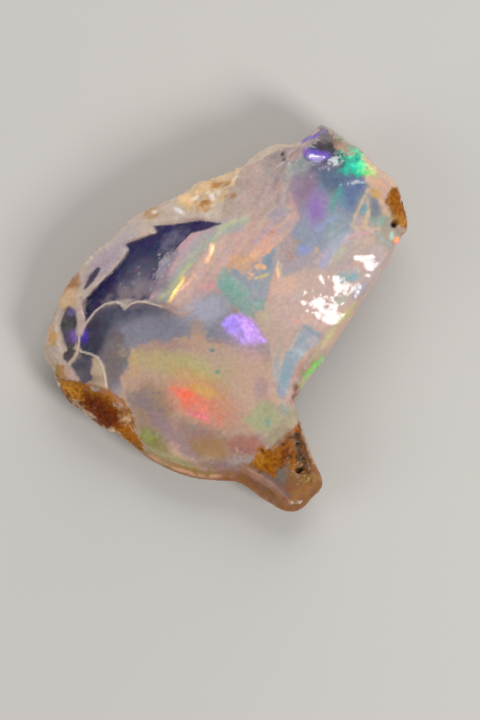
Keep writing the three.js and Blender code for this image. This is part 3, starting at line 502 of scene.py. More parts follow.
    glow("lilac foot of the facet", (4.7, -5.9), (0.25, 0.5), 0, "#939cb0", soft=0.5, torn=0.2),
    glow("pale veil of the facet", (4.3, -3.6), (0.33, 1.2), -12, "#b3aaa4", soft=0.7, torn=0.3),
    # A painted highlight on the facet.
    glow("rosy white in the facet", (7.4, -2.0), (0.58, 0.33), -30, "#b9b3b6", soft=0.6, torn=0.3),
    vein("peach thread", [(5.4, -2.4), (5.9, -1.4), (6.3, -0.5)], 0.083, "#d0b09e", soft=0.25, torn=0.1),
    vein("second peach thread", [(4.5, -4.0), (4.7, -2.9), (5.1, -2.5)], 0.1, "#cfb299", soft=0.25,
         torn=0.15),
    vein("peach ledge", [(6.1, -3.8), (6.9, -2.9), (7.7, -2.3), (8.4, -1.9)], 0.25, "#caae98", soft=0.4,
         torn=0.15),
    vein("rose fold", [(5.6, -5.1), (6.0, -4.2), (6.5, -3.5)], 0.2, "#cc9c92", soft=0.4, torn=0.15),
    vein("peach side", [(10.5, 0.6), (9.5, -0.7), (8.6, -2.1)], 0.17, "#d3ac8f", soft=0.3, torn=0.1),
    vein("lime edge", [(10.7, 1.3), (9.8, 0.1), (8.9, -0.9), (8.1, -2.1)], 0.12, "#c6c27e", soft=0.35,
         torn=0.3),
    vein("green wall", [(7.9, -2.8), (7.0, -3.7), (6.4, -4.7), (5.9, -5.4)], 0.25, "#9c9c68", soft=0.8,
         torn=0.5, strength=0.8),
    vein("bright green foot", [(8.0, -3.4), (7.1, -4.4), (6.3, -5.4)], 0.12, "#69bb46", soft=0.45, torn=0.4),
    vein("red-brown notch", [(5.9, -5.6), (5.6, -6.3), (5.4, -6.9)], 0.17, "#84503f", soft=0.7, torn=0.4),
    glow("dusk above the stain", (5.2, -7.8), (0.75, 0.5), -40, "#98a091", soft=0.6, torn=0.3),
    # The tail.
    area("pale green root of the tail", [(3.0, -10.1), (3.7, -9.3), (4.7, -8.3), (5.5, -7.4), (6.1, -7.9),
         (5.9, -8.8), (5.2, -9.8), (3.9, -10.6)], "#a99b7e", soft=0.8, torn=0.3),
    area("tail", [(0.9, -12.9), (3.0, -11.4), (5.9, -8.8), (6.7, -9.3), (8.7, -13.8), (5.5, -16.8),
         (3.0, -15.1), (0.4, -13.8)], "#8c5c30", soft=0.6, torn=0.2),
    glow("mauve in the tail", (2.7, -13.1), (1.2, 0.5), -28, "#ac7a60", soft=0.7, torn=0.35),
    glow("grey in the tail", (4.6, -12.9), (0.5, 1), 10, "#76645a", soft=0.8, torn=0.4),
    vein("rosy fold of the tail", [(3.2, -13.4), (3.9, -13.9), (4.5, -14.6), (5.1, -15.3)], 0.25, "#9c7264",
         soft=0.5, torn=0.2),
    vein("amber edge of the tail", [(0.0, -13.3), (1.2, -13.6), (2.5, -14.4), (3.5, -15.3), (4.7, -15.9),
         (5.7, -16.2)], 0.33, "#95581e", soft=0.5, torn=0.3),
    glow("olive in the tail", (6.9, -13.4), (0.75, 0.5), 25, "#a37a2c", soft=0.6, torn=0.5),
    glow("straw glint in the tail", (6.7, -13.6), (0.25, 0.12), 35, "#a89a4c", soft=0.25, torn=0.3),
    glow("brown end of the tail", (5.5, -14.6), (1.3, 0.75), 25, "#90592a", soft=0.8, torn=0.4),
    glow("amber end of the tail", (6.5, -14.3), (1, 0.5), 45, "#a06a34", soft=0.8, torn=0.5),
    vein("peach line along the tail", [(1.9, -12.5), (3.2, -13.1), (4.5, -14.2), (5.5, -15.4)], 0.083,
         "#bc9070", soft=0.3, torn=0.2),
    vein("dusky line along the tail", [(2.5, -12.4), (3.9, -13.4), (5.2, -14.8)], 0.12, "#75605e", soft=0.4,
         torn=0.3, strength=0.8),
    vein("brown line along the tail", [(1.7, -13.1), (3.0, -13.9), (4.4, -14.9)], 0.083, "#7a4a1c", soft=0.3,
         torn=0.3, strength=0.8),
    glow("gritty root of the tail", (6.4, -11.5), (0.75, 1.7), 12, "#6e4420", soft=0.6, torn=0.4),
    vein("pale edge of the tail", [(6.4, -9.4), (6.9, -10.7), (7.4, -12.0)], 0.083, "#c69c72", soft=0.2,
         torn=0.15),
]

# What the rough skin shows from above.
SKIN_MARKS = [
    glow("ochre on the rim", (-13.0, 2.9), (0.75, 1.2), -20, "#a8713a", soft=0.6, torn=0.4),
    glow("honey on the rim", (-13.1, 1.6), (1, 0.75), 40, "#d8b48c", soft=0.6, torn=0.3),
    glow("ochre at the left", (-14.3, -1.4), (0.33, 1.3), 0, "#c0914e", soft=0.4, torn=0.4),
    glow("honey bump at the left", (-14.4, -1.3), (0.33, 0.67), 8, "#cfa368", soft=0.4, torn=0.4),
    glow("ochre bump below", (-14.0, -4.4), (0.5, 0.58), 0, "#b58653", soft=0.5, torn=0.4),
    glow("ochre on the ledge", (-6.2, 8.9), (0.83, 0.5), 25, "#bb9468", soft=0.5, torn=0.4),
    glow("pearl on the ledge", (-5.9, 8.9), (0.25, 0.17), 0, "#ecd9c6", soft=0.2),
    glow("pale rim", (-8.8, 6.1), (0.75, 2.2), -42, "#bcb0b0", soft=0.7, torn=0.2),
    glow("mauve rim", (-10.1, 4.7), (0.83, 2), -42, "#b5a3ab", soft=0.8, torn=0.2),
    area("popcorn", [(-4.0, 9.4), (-3.3, 10.6), (-2.0, 11.5), (-0.3, 12.3), (1.2, 12.9), (2.0, 12.2),
         (1.7, 11.2), (0.9, 10.6), (-0.1, 9.9), (-1.1, 9.1), (-2.1, 8.6), (-3.3, 8.9)], "#d8ba92", soft=0.5,
         torn=0.4),
    glow("honey lump", (-3.1, 9.9), (0.67, 0.5), -40, "#f8cc98", soft=0.35, torn=0.25),
    glow("honey lump below", (-1.8, 9.3), (0.75, 0.5), 38, "#cfa274", soft=0.5, torn=0.35),
    glow("amber between the lumps", (-0.8, 11.1), (0.92, 0.33), 22, "#b97a2e", soft=0.5, torn=0.35),
    glow("grey hollow", (-2.1, 10.0), (0.42, 0.33), 20, "#c8ac94", soft=0.4, torn=0.2),
    glow("brown hollow", (-1.7, 9.6), (0.33, 0.25), 20, "#b1752e", soft=0.35, torn=0.2),
    glow("cream lump", (-1.9, 10.8), (0.75, 0.33), 25, "#e8c294", soft=0.4, torn=0.2),
    glow("second cream lump", (0.8, 11.1), (0.67, 0.5), 35, "#f4d4a8", soft=0.4, torn=0.3),
    glow("third cream lump", (-0.1, 11.7), (0.67, 0.25), 25, "#dcbd98", soft=0.4, torn=0.3),
    # Painted highlights on the lumps, as near-white spots.
    glow("pearl gloss", (-1.1, 10.1), (0.21, 0.33), 10, "#eee0d4", soft=0.25, torn=0.1),
    glow("second pearl gloss", (-0.6, 10.4), (0.17, 0.25), 0, "#e8dacf", soft=0.25, torn=0.1),
    glow("third pearl gloss", (1.7, 12.1), (0.42, 0.21), 20, "#e6dcd8", soft=0.3, torn=0.3),
    glow("brown freckle", (0.6, 10.1), (0.33, 0.29), 0, "#a8722a", soft=0.3, torn=0.1),
    glow("tan between the lumps", (0.0, 10.9), (0.33, 0.21), 30, "#a97c48", soft=0.35, torn=0.3),
    glow("tan below the lumps", (0.7, 10.1), (0.42, 0.21), 10, "#a98560", soft=0.4, torn=0.4),
    # More painted highlights on the lumps.
    glow("fourth pearl gloss", (-2.5, 9.9), (0.25, 0.12), 40, "#fbe6cc", soft=0.2, torn=0.1),
    glow("fifth pearl gloss", (1.2, 11.7), (0.33, 0.17), 25, "#ece2dc", soft=0.25, torn=0.2),
    glow("sixth pearl gloss", (-1.4, 10.5), (0.25, 0.12), 25, "#f4d8b4", soft=0.2, torn=0.1),
    glow("white gloss", (-3.8, 8.9), (0.5, 0.17), -30, "#efe6e4", soft=0.2),
]

# Rusty stains and crusts, over the face and the skin.
STAINS = [
    area("ochre stain", [(-14.6, -3.9), (-13.6, -4.6), (-12.6, -4.9), (-11.8, -5.6), (-10.6, -5.8),
         (-9.8, -6.3), (-9.0, -6.9), (-8.0, -7.6), (-7.5, -8.4), (-7.6, -9.3), (-7.0, -10.1), (-6.8, -10.9),
         (-7.5, -11.4), (-8.5, -11.1), (-10.0, -10.6), (-11.6, -9.8), (-13.0, -8.4), (-14.3, -6.8),
         (-15.1, -5.1)], "#8c5a0e", soft=0.3, torn=0.5),
    area("umber stain", [(-13.3, -5.4), (-12.3, -5.6), (-11.3, -6.1), (-10.1, -6.4), (-9.3, -7.1),
         (-8.6, -7.9), (-8.3, -8.8), (-8.5, -9.4), (-9.5, -9.9), (-10.5, -9.6), (-11.5, -8.8), (-12.6, -7.6),
         (-13.5, -6.4)], "#742f00", soft=0.7, torn=0.5),
    glow("golden edge of the stain", (-12.8, -5.9), (1.4, 0.5), -42, "#c88420", soft=0.6, torn=0.6),
    glow("golden foot of the stain", (-8.5, -9.6), (1, 0.67), -30, "#a4600e", soft=0.6, torn=0.5),
    glow("rust in the stain", (-10.1, -6.4), (1.3, 0.42), -36, "#854a04", soft=0.7, torn=0.6),
    vein("golden top edge of the stain", [(-11.5, -5.5), (-10.4, -5.9), (-9.3, -6.5), (-8.6, -7.3)], 0.25,
         "#a5661a", soft=0.8, torn=0.6, strength=0.85),
    vein("cream flakes of the stain", [(-12.6, -6.9), (-12.0, -7.6), (-11.2, -8.3)], 0.17, "#c0a080",
         soft=0.3, torn=0.5),
    vein("lower cream flakes", [(-9.8, -9.3), (-9.1, -9.9), (-8.4, -10.4)], 0.21, "#c8a888", soft=0.3,
         torn=0.5),
    glow("cream lump in the stain", (-8.3, -8.3), (0.42, 0.25), 20, "#c49c74", soft=0.5, torn=0.4),
    glow("ochre at the lower left", (-13.6, -4.6), (0.83, 0.5), -35, "#b88946", soft=0.5, torn=0.5),
    area("cream wedge", [(-11.1, -3.2), (-10.6, -3.1), (-10.1, -3.9), (-9.9, -4.7), (-9.8, -5.8),
         (-10.6, -5.5), (-11.8, -5.2), (-11.3, -4.5), (-11.0, -3.8)], "#bba184", soft=0.3, torn=0.1),
    glow("shade in the wedge", (-10.7, -4.9), (0.58, 0.33), 20, "#a48b76", soft=0.4, torn=0.3),
    area("ochre at the tail", [(6.0, -8.5), (5.5, -9.1), (5.3, -9.9), (4.7, -10.3), (3.9, -10.6),
         (2.8, -10.9), (2.5, -11.4), (1.9, -12.1), (2.8, -12.4), (3.5, -12.7), (4.0, -13.0), (4.5, -12.3),
         (4.9, -11.9), (5.3, -11.9), (5.6, -12.6), (6.0, -12.7), (5.9, -11.9), (5.7, -11.1), (5.9, -10.2),
         (6.2, -9.4), (6.3, -8.7)], "#9a5a04", soft=0.35, torn=0.35),
    glow("dark heart of the ochre", (5.0, -11.0), (0.75, 0.58), 40, "#7a3c00", soft=0.8, torn=0.5),
    glow("golden edge of the ochre", (2.9, -11.6), (0.67, 0.5), 20, "#b3741c", soft=0.6, torn=0.5),
    glow("dark patch in the tail", (6.0, -10.1), (0.42, 0.75), 10, "#5a3414", soft=0.4, torn=0.5),
]

# Small openings in the skin that show clear opal, painted dark grey to near black as painted shade, with violet
# fire in some.
POCKETS = [
    area("side pocket", [(-13.0, 1.1), (-12.4, 0.6), (-12.2, -0.3), (-12.3, -1.6), (-12.6, -2.4),
         (-13.1, -2.7), (-13.5, -1.6), (-13.8, -0.5), (-13.6, 0.2)], "#463f44", soft=0.2, torn=0.08),
    glow("violet in the side pocket", (-12.6, -1.4), (0.42, 0.5), 0, "#8a62c4", soft=0.4),
    glow("plum in the side pocket", (-13.1, -1.5), (0.33, 0.5), 0, "#5a4272", soft=0.5),
    glow("lilac in the side pocket", (-12.8, 0.6), (0.42, 0.33), 0, "#7d6aa0", soft=0.4),
    area("slit", [(-10.3, 4.2), (-10.6, 4.3), (-11.3, 3.5), (-11.8, 2.5), (-11.6, 2.4), (-11.1, 2.9),
         (-10.6, 3.6)], "#443e55", soft=0.15, torn=0.05),
    area("small pocket", [(-13.5, -2.8), (-12.8, -2.4), (-12.4, -2.6), (-12.5, -3.1), (-13.1, -3.6),
         (-13.5, -3.3)], "#4c3c44", soft=0.15, torn=0.1),
    area("corner pocket", [(-13.0, -3.6), (-12.0, -3.4), (-11.1, -3.4), (-11.2, -4.1), (-11.1, -4.8),
         (-11.8, -5.3), (-12.5, -4.6)], "#57525e", soft=0.2, torn=0.2),
    glow("violet beside the crest", (-11.7, -1.4), (0.33, 0.58), 0, "#4b2fb0", soft=0.4),
]

# The sharp raised edges round the basin.
CRESTS = [
    vein("crest", [(-9.9, -5.6), (-10.0, -4.8), (-10.2, -3.9), (-10.6, -3.2), (-11.2, -2.9), (-12.0, -2.7),
         (-12.2, -2.4), (-12.1, -1.4), (-11.6, -0.5), (-10.8, 0.6), (-10.0, 1.2), (-9.1, 1.4), (-8.6, 1.2),
         (-8.3, 0.8), (-7.8, 1.2), (-7.2, 1.4), (-6.3, 1.3), (-5.3, 1.0)], 0.08, "#d0bcae", soft=0.12),
    vein("fading end of the crest", [(-5.3, 1.0), (-4.7, 0.9), (-4.1, 0.5), (-3.5, 0.3), (-2.7, 0.8)], 0.1,
         "#c9a597", soft=0.3, torn=0.1, strength=0.8),
    area("tooth of the crest", [(-8.9, 1.5), (-8.2, 1.6), (-7.5, 1.6), (-8.0, 1.3), (-8.3, 0.6), (-8.6, 1.2)],
         "#b5a49e", soft=0.15),
    vein("side crest", [(-12.2, -2.4), (-12.5, -3.1), (-13.0, -3.8)], 0.11, "#cdb3a0", soft=0.15),
    vein("pillar", [(-11.8, 1.6), (-12.0, 0.6), (-11.9, -0.3), (-12.1, -1.1)], 0.33, "#c3aba0", soft=0.3),
]

# Fine grit and glints, strewn over ovals: middle, half length and half width, direction, how many, colour.
# The pale glints are painted highlights; the green and straw glints are specks of fire.
SPECKS = [
    ("glints on the sky face", (10.9, 11.3), (1.2, 0.25), 4, 18, "#ccd6de"),
    ("glints beside the bowl", (9.0, 13.1), (0.58, 0.5), 30, 44, "#dfe3ea"),
    ("glints below the bowl", (8.0, 12.4), (0.92, 0.25), 35, 8, "#b4b0c0"),
    ("grit at the edge of the window", (-5.1, 4.6), (0.5, 1.2), -30, 34, "#b9b0b6"),
    ("grit in the window", (-7.1, 3.2), (1.7, 1), 20, 26, "#8f8896"),
    ("gold grit in the middle", (1.0, 4.9), (1, 0.5), 20, 22, "#dcae8a"),
    ("peach grit above the chip", (2.5, 5.1), (0.83, 0.67), 40, 22, "#e8b48e"),
    ("rusty grit at the foot of the sky face", (5.4, 5.4), (0.83, 0.92), 0, 26, "#a9837a"),
    ("green glints in the emerald", (10.5, 13.4), (0.83, 0.83), -40, 40, "#48d8a4"),
    ("straw glints beside the emerald", (11.9, 12.7), (0.67, 0.67), -45, 24, "#d8c89a"),
    ("dark grit in the tail", (6.2, -10.9), (0.5, 1.8), 14, 40, "#37220f"),
    ("cream grit in the tail", (6.2, -12.6), (0.83, 1.3), 10, 26, "#c8a070"),
    ("glints at the foot of the tail", (5.9, -15.3), (0.5, 0.17), 10, 6, "#eadccb"),
    ("dark grit in the stain", (-11.0, -7.4), (1.8, 0.67), -36, 40, "#421a02"),
    ("cream grit in the stain", (-12.5, -8.3), (1.5, 0.33), -42, 30, "#d4ae78"),
    ("glints on the ledge", (-10.8, 5.7), (2.8, 0.33), 45, 30, "#ddd4d2"),
    ("mauve grit in the basin", (-6.3, -7.2), (1.8, 1.3), -30, 40, "#8a7680"),
    ("mauve grit in the facet", (1.4, -10.9), (1, 0.58), 0, 22, "#925e62"),
    ("grit at the foot", (-0.1, -12.4), (2.2, 0.5), -10, 36, "#8c6a68"),
]
# A speck's half width, the smallest and the largest share of it that specks have, and how far they stray from
# the middle of their oval, as a share of its reach.
SPECK = 0.05
SPECK_SIZES = (0.6, 2.0)
SPECK_SPREAD = 0.5

# Marks that have a surface of their own: lumpy skin, edges that are worn dull, and dry crusts.
LUMPS = ["popcorn"]
WORN_EDGES = ["worn edge above the notch", "peach ledge", "peach side"]
CRUSTS = ["ochre stain", "ochre at the tail", "brown corner", "gritty root of the tail"]

# Where the photograph shows the brightest fire, painted as a glow that the stone itself gives off.
GLOWING_FIRE = ["red fire", "second red fire", "crimson fire", "violet flash", "blue half of the flash",
        "pale half of the flash", "dim emerald", "emerald fire", "teal heart of the emerald",
        "core of the emerald", "upper emerald", "lime fire", "long gold streak", "core of the gold streak",
        "second gold streak", "upper gold streak", "core of the upper streak", "gold at the foot of the edge",
        "lilac line to the tip", "orange spark", "rose spark", "bright green foot"]

# What lies under the marks of the face and of the skin.
FACE_GROUND = "#c4a698"
SKIN_GROUND = "#c9b5a5"

# The sides and the underside: milky glass, its greyer places, the colours that play over it, and the crust.
SIDE_MILK = "#c9a695"
SIDE_GREY = "#a99d9f"
SIDE_FIRE = ["#d89f95", "#a3b79a", "#a29fc6", "#8db3b4", "#e2a479"]
SIDE_CRUST = "#bfa488"
# Patches of the side crust: the noise's shift and size, the colour, and how much of the noise is left out.
SIDE_PATCHES = [(3.0, 2.0, "#a9773c", 0.15), (4.0, 1.2, "#d9c5ad", 0.15), (6.0, 0.7, "#7d4c1c", 0.42)]

# Below this place, measured along y, the thin lower edge and the tail are amber.
LOW_EDGE = -9.5
LOW_EDGE_AMBER = "#95683a"

# The skin of the underside reaches nearly to the glassy right side and the thin lower edge.
UNDERSIDE_SKIN = [(5.3, 15.0), (8.0, 9.5), (10.5, 4.0), (6.5, -1.0), (3.5, -5.0), (4.0, -9.5), (1.0, -11.0),
                  (-6.0, -11.5), (-18.0, -17.0), (-18.0, 18.2), (5.3, 18.2)]

# Where one broken face runs softly into the next: how far it is softened and lowered, and its course.
SOFT_BORDERS = [
    ("right and lower border of the basin", 2.2, 0.4, [(-1.9, 1.5), (-1.0, 2.4), (0.4, 1.4), (1.9, 0.2),
     (3.2, -2.0), (3.3, -4.2), (3.0, -6.0), (3.8, -7.6), (4.2, -9.1), (3.0, -10.8), (0.8, -12.0),
     (-2.3, -12.3), (-5.0, -11.5), (-7.0, -10.3), (-7.7, -8.9), (-8.2, -7.4), (-9.2, -6.4), (-9.8, -5.6)]),
    ("band beside the basin", 2.0, 0.3, [(3.9, -2.0), (4.0, -4.0), (3.8, -6.0), (4.4, -7.6)]),
    ("lower border of the sky face", 1.2, 0.15, [(4.4, 5.6), (4.5, 3.6), (6.0, 4.0), (7.6, 5.2), (9.0, 6.2),
     (10.6, 7.0), (12.4, 6.9), (14.0, 6.0)]),
    ("left border of the sky face", 0.9, 0.05, [(4.4, 5.9), (5.4, 7.1), (6.1, 8.1), (5.9, 9.4), (5.4, 11.1)]),
    ("long steps beside the window", 0.9, 0.0, [(-5.6, 1.8), (-4.6, 3.4), (-3.6, 4.9), (-2.4, 6.2),
     (-1.4, 6.9), (-0.6, 7.8), (0.6, 7.8), (0.2, 6.2), (-0.8, 4.6), (-2.0, 3.0), (-3.2, 1.6)]),
    ("foot of the ridges", 0.8, 0.0, [(-4.6, 0.5), (-4.1, 0.1), (-3.3, 0.2), (-2.5, 0.7), (-1.6, 1.6)]),
    ("left corner of the basin", 0.7, 0.15, [(-9.6, -5.9), (-9.9, -5.2), (-10.3, -4.4), (-10.5, -3.9)]),
    ("step in the middle", 1.0, 0.0, [(3.2, 5.8), (3.8, 6.8), (4.3, 7.7)]),
    ("steps of the shoulder", 0.9, 0.0, [(1.6, 8.6), (2.8, 9.8), (3.8, 11.4), (4.0, 13.2), (2.6, 12.2),
     (1.8, 10.6)]),
    ("chip", 1.6, 0.0, [(0.4, 3.2), (1.6, 2.6), (2.8, 3.4), (3.2, 1.6)]),
    ("lower border of the chip", 0.9, 0.0, [(-1.0, 2.6), (0.2, 1.5), (1.4, 0.6), (2.8, 0.2)]),
]
# A border is softened in full, and lowered most, within this share of its reach.
BORDER_CORE = 0.4
# Only points above this height are lowered, so the thin edge keeps its thickness.
DROP_ABOVE = 2.5
# How often the borders are smoothed, first in all directions and then in height alone.
ALL_ROUND_SMOOTHING = 120
HEIGHT_SMOOTHING = 300
# The stone's outline from above. Points nearer to it than OUTLINE_MARGIN are softened in height only.
OUTLINE = [(7.8, 16.1), (10.7, 14.3), (13.8, 11.6), (14.7, 9.2), (15.1, 7.8), (13.8, 5.9), (12.7, 4.1),
           (10.4, 0.8), (8.2, -3.1), (6.8, -4.3), (5.3, -6.7), (6.3, -9.2), (8.0, -13.7), (6.1, -15.9),
           (4.4, -15.8), (1.6, -13.9), (-1.0, -13.4), (-5.2, -12.3), (-9.8, -9.6), (-13.7, -6.0),
           (-15.1, -2.8), (-14.9, -0.5), (-13.7, 2.4), (-10.8, 5.8), (-6.6, 9.2), (-3.4, 10.6), (0.1, 12.2),
           (2.9, 14.1), (5.3, 14.4)]
OUTLINE_MARGIN = 1.0

# Smoothing draws the thin edge in, so the stone is spread by this much, and more at these places: how far to
# the right and up, and the course of the edge. The push fades over EDGE_REACH.
SPREAD = 1.01
EDGE_REACH = 1.6
FULLER_EDGES = [
    ("edge of the slope and the notch", (0.33, -0.22), [(5.5, -6.6), (7.1, -4.1), (8.9, -1.6), (9.9, 0.0),
     (11.1, 2.0), (13.0, 4.7)]),
    ("edge above the right corner", (0.23, 0.25), [(14.3, 9.6), (13.5, 11.3), (11.2, 13.4)]),
    ("left side", (-0.2, 0.0), [(-13.2, 2.3), (-14.0, 0.0), (-14.7, -2.4), (-13.8, -5.0)]),
]

# Fresh glassy chips that mirror the key light: middle, half length and half width, the direction of the
# length, and how far the chip is turned to the light.
GLOSSY_CHIPS = [
    ("upper chip on the slope", (11.2, 5.9), (0.55, 0.35), 20, 0.6),
    ("second chip on the slope", (11.5, 4.9), (1.1, 0.5), -60, 0.0),
    ("third chip on the slope", (9.5, 2.7), (1.05, 0.5), -16, 0.0),
    ("lower chip on the slope", (8.0, 0.8), (1.35, 0.75), -26, 0.0),
    ("chip in the bowl", (7.2, 13.3), (0.7, 0.45), -20, 1.0),
    ("second chip in the bowl", (8.1, 13.25), (0.5, 0.35), 0, 1.0),
    ("chip beside the bowl", (9.1, 13.1), (0.9, 0.45), 24, 0.6),
]
# How much a turned chip falls in a millimetre to the right and to the top.
CHIP_FALL = (0.382, -0.248)
# The size and the height of the fine unevenness that breaks up what a chip mirrors.
CHIP_FROST = (0.4, 0.012)
# The chips' edges are frayed along the way they broke: the direction and the width of a strand.
CHIP_STRANDS = (-32, 0.18)

# Fine streaks of the broken faces: middle, half length and half width, direction, width of a streak, depth,
# and how much of the streaks' colours shows.
STREAKS = [
    ("hackled shoulder", (4.9, 12.0), (3.0, 0.9), 64, 0.35, 0.06, 1.0),
    ("warm middle", (1.0, 8.6), (5.6, 2.8), 56, 0.6, 0.015, 0.3),
    ("ridges", (-1.6, 4.6), (3.6, 2.1), 56, 0.4, 0.035, 0.6),
    ("chip and plateau", (3.6, 2.2), (4.0, 3.2), 60, 0.5, 0.01, 0.25),
    ("slope", (9.0, 3.0), (6.0, 3.2), 54, 0.5, 0.015, 0.35),
]
# How many times longer than wide a streak is.
STREAK_STRETCH = 3
# Colours that the streaks of the frosted faces catch, and how much of each shows.
STREAK_COLOURS = [("#e2c4b8", 0.5), ("#a98f92", 0.45), ("#a9b8a4", 0.4), ("#b09fc0", 0.35), ("#e0ac94", 0.4)]
# The direction and the width of a coloured streak.
COLOURED_STREAK = (56, 0.3)

# How high the crests stand, and how far beside them that height has sunk to about a third.
CREST_HEIGHT = 0.05
CREST_HALF_WIDTH = 0.08

# Round pits: middle, radius and depth. They are deep to half the radius, and run out at one and a half.
# The pits are also painted this near black, as painted shade.
PIT_SHADE = "#140c08"
PITS = [
    ("deep pit in the right corner", (13.94, 7.81), 0.27, 0.6),
    ("pit in the tail", (6.0, -12.5), 0.17, 0.3),
    ("second pit in the tail", (6.3, -12.4), 0.12, 0.25),
    ("third pit in the tail", (5.3, -11.4), 0.1, 0.2),
    ("fourth pit in the tail", (5.9, -10.3), 0.1, 0.2),
    ("fifth pit in the tail", (6.4, -11.6), 0.1, 0.2),
    ("sixth pit in the tail", (6.7, -12.1), 0.08, 0.15),
    ("seventh pit in the tail", (6.0, -9.6), 0.09, 0.2),
    ("eighth pit in the tail", (4.7, -10.4), 0.09, 0.15),
    ("pit beside the ochre", (3.0, -10.9), 0.1, 0.15),
    ("pit in the shoulder", (4.7, 13.6), 0.14, 0.2),
    ("second pit in the shoulder", (4.8, 13.1), 0.12, 0.2),
]

# Lumps and grit: the texture, the size of a lump and its height, and the share that it follows. The popcorn's
# texture of cells is black in the middle of each, so a negative height makes them stand up as lumps.
RELIEFS = [
    ("skin lumps", "CLOUDS", 0.9, 0.24, "skin"),
    ("skin grit", "CLOUDS", 0.34, 0.13, "skin"),
    ("popcorn lumps", "VORONOI", 0.75, -0.36, "lumps"),
    ("stain crumbs", "CLOUDS", 0.3, 0.12, "stain"),
    ("faint unevenness", "CLOUDS", 1.6, 0.05, None),
]

# Soft boxes: degrees round from +x, degrees up, how far away, how wide, and power in watts.
SOFT_BOXES = [
    ("key soft box", -33, 41, 300, 100, 0.50),
    ("upper soft box", 80, 30, 350, 280, 0.84),
    ("left soft box", -170, 25, 350, 200, 0.35),
]
ROOM_LIGHT = 0.24

# The Mix node's sockets: its share and the numbers or the colours that it goes from and to, and its results.
SHARE, FROM, TO, FROM_COLOUR, TO_COLOUR = 0, 2, 3, 6, 7
NUMBER, COLOUR = 0, 2


def select_only(piece):
    """Selects the piece and nothing else."""
    bpy.ops.object.select_all(action="DESELECT")
    piece.select_set(True)
    bpy.context.view_layer.objects.active = piece


def modify(piece, kind, **settings):
    """Adds a modifier to the piece and applies it."""
    select_only(piece)
    bpy.ops.object.modifier_add(type=kind)
    modifier = piece.modifiers[-1]
    for name, value in settings.items():
        setattr(modifier, name, value)
    bpy.ops.object.modifier_apply(modifier=modifier.name)


def copy_of_solid(name):
    """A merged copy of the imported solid, free of its parent, with a fine even mesh."""
    select_only(frame["nodes"][name])
    bpy.ops.object.duplicate()
    copy = bpy.context.active_object
    bpy.ops.object.parent_clear(type="CLEAR_KEEP_TRANSFORM")
    bpy.ops.object.mode_set(mode="EDIT")
    bpy.ops.mesh.select_all(action="SELECT")
    bpy.ops.mesh.remove_doubles(threshold=0.001 * MM)
    bpy.ops.object.mode_set(mode="OBJECT")
    modify(copy, "REMESH", mode="VOXEL", voxel_size=FACET * MM)
    modify(copy, "SMOOTH", factor=0.5, iterations=6)
    return copy


def points_of(piece):
    """The piece's points, in mm."""
    points = np.empty(3 * len(piece.data.vertices))
    piece.data.vertices.foreach_get("co", points)
    return points.reshape(-1, 3) / MM


def normals_of(piece):
    """Which way the surface faces at each point."""
    normals = np.empty(3 * len(piece.data.vertices))
    piece.data.vertex_normals.foreach_get("vector", normals)
    return normals.reshape(-1, 3)


def move_points(piece, points):
    """Puts the piece's points at these places, in mm."""
    piece.data.vertices.foreach_set("co", (points * MM).ravel())


def keep_share(piece, name, share):
    """Keeps a share from 0 to 1 at each point, as an attribute for the material and a group for modifiers."""
    piece.data.attributes.new(name, "FLOAT", "POINT").data.foreach_set("value", share.astype(np.float32))
    group = piece.vertex_groups.new(name=name + " group")
    for tenth in range(1, 11):
        level = np.flatnonzero(np.round(share * 10) == tenth)
        group.add(level.tolist(), tenth / 10, "REPLACE")


def keep_colour(piece, name, colours):
    """Keeps a colour at each point, as an attribute for the material."""
    kept = piece.data.attributes.new(name, "FLOAT_COLOR", "POINT")
    solid = np.hstack([colours, np.ones((len(colours), 1))])
    kept.data.foreach_set("color", solid.astype(np.float32).ravel())


def blend(under, over, share):
    """One colour laid over another, at each point by its share."""
    return under + share[:, None] * (over - under)


def cover_of(mark, places, ragged):
    """The share of a mark's colour at each place."""
    return cover(mark.distance(places) + mark.torn * ragged, mark.soft) * mark.strength


def painted(ground, marks, places, ragged):
    """The ground's colour with marks painted over it, one over another."""
    for mark in marks:
        ground = blend(ground, linear(mark.colour), cover_of(mark, places, ragged))
    return ground


def strewn(middle, reach, turn, count, colour, seed):
    """Specks over an oval, thickest in its middle."""
    dice = np.random.default_rng(seed)
    along, across = dice.normal(0, SPECK_SPREAD, (2, count)) * np.array(reach)[:, None]
    angle = math.radians(turn)
    places = np.column_stack([along * math.cos(angle) - across * math.sin(angle),
                              along * math.sin(angle) + across * math.cos(angle)]) + middle
    sizes = SPECK * dice.uniform(*SPECK_SIZES, (count, 2))
    return [glow("speck", place, size, 0, colour, soft=0.12, strength=0.85)
            for place, size in zip(places, sizes)]


def raggedness(points):
    """The noise that tears the edges of marks: wide bays with small teeth."""
    bays = clouds(points, size=1.1)
    teeth = clouds(points, size=0.4, shift=9.0)
    return 0.8 * bays + 0.6 * teeth


def streaks(points, direction, width, shift):
    """Cloudy noise drawn out along one direction. One of its lumps is about two streaks wide."""
    angle = math.radians(direction)
    x, y, z = points.T
    along = x * math.cos(angle) + y * math.sin(angle)
    across = y * math.cos(angle) - x * math.sin(angle)
    return clouds(np.column_stack([along / STREAK_STRETCH, across, z]), width * 2, shift)


def skin_share(points, normals, ragged):
    """1 on the rough skin, 0 on broken faces."""
    places = points[:, :2]
    above = cover(distance_to_outline(places, SKIN) + 0.25 * ragged, soft=0.3)
    below = cover(distance_to_outline(places, UNDERSIDE_SKIN) + 0.8 * ragged, soft=0.6)
    downward = rising(-normals[:, 2], 0.35, over=0.2)
    return above + downward * (below - above)


def share_of(names, places, ragged):
    """1 on the marks with these names, 0 elsewhere."""
    marks = [mark for mark in FACE + SKIN_MARKS + STAINS + POCKETS if mark.name in names]
    return np.max([cover_of(mark, places, ragged) for mark in marks], axis=0)


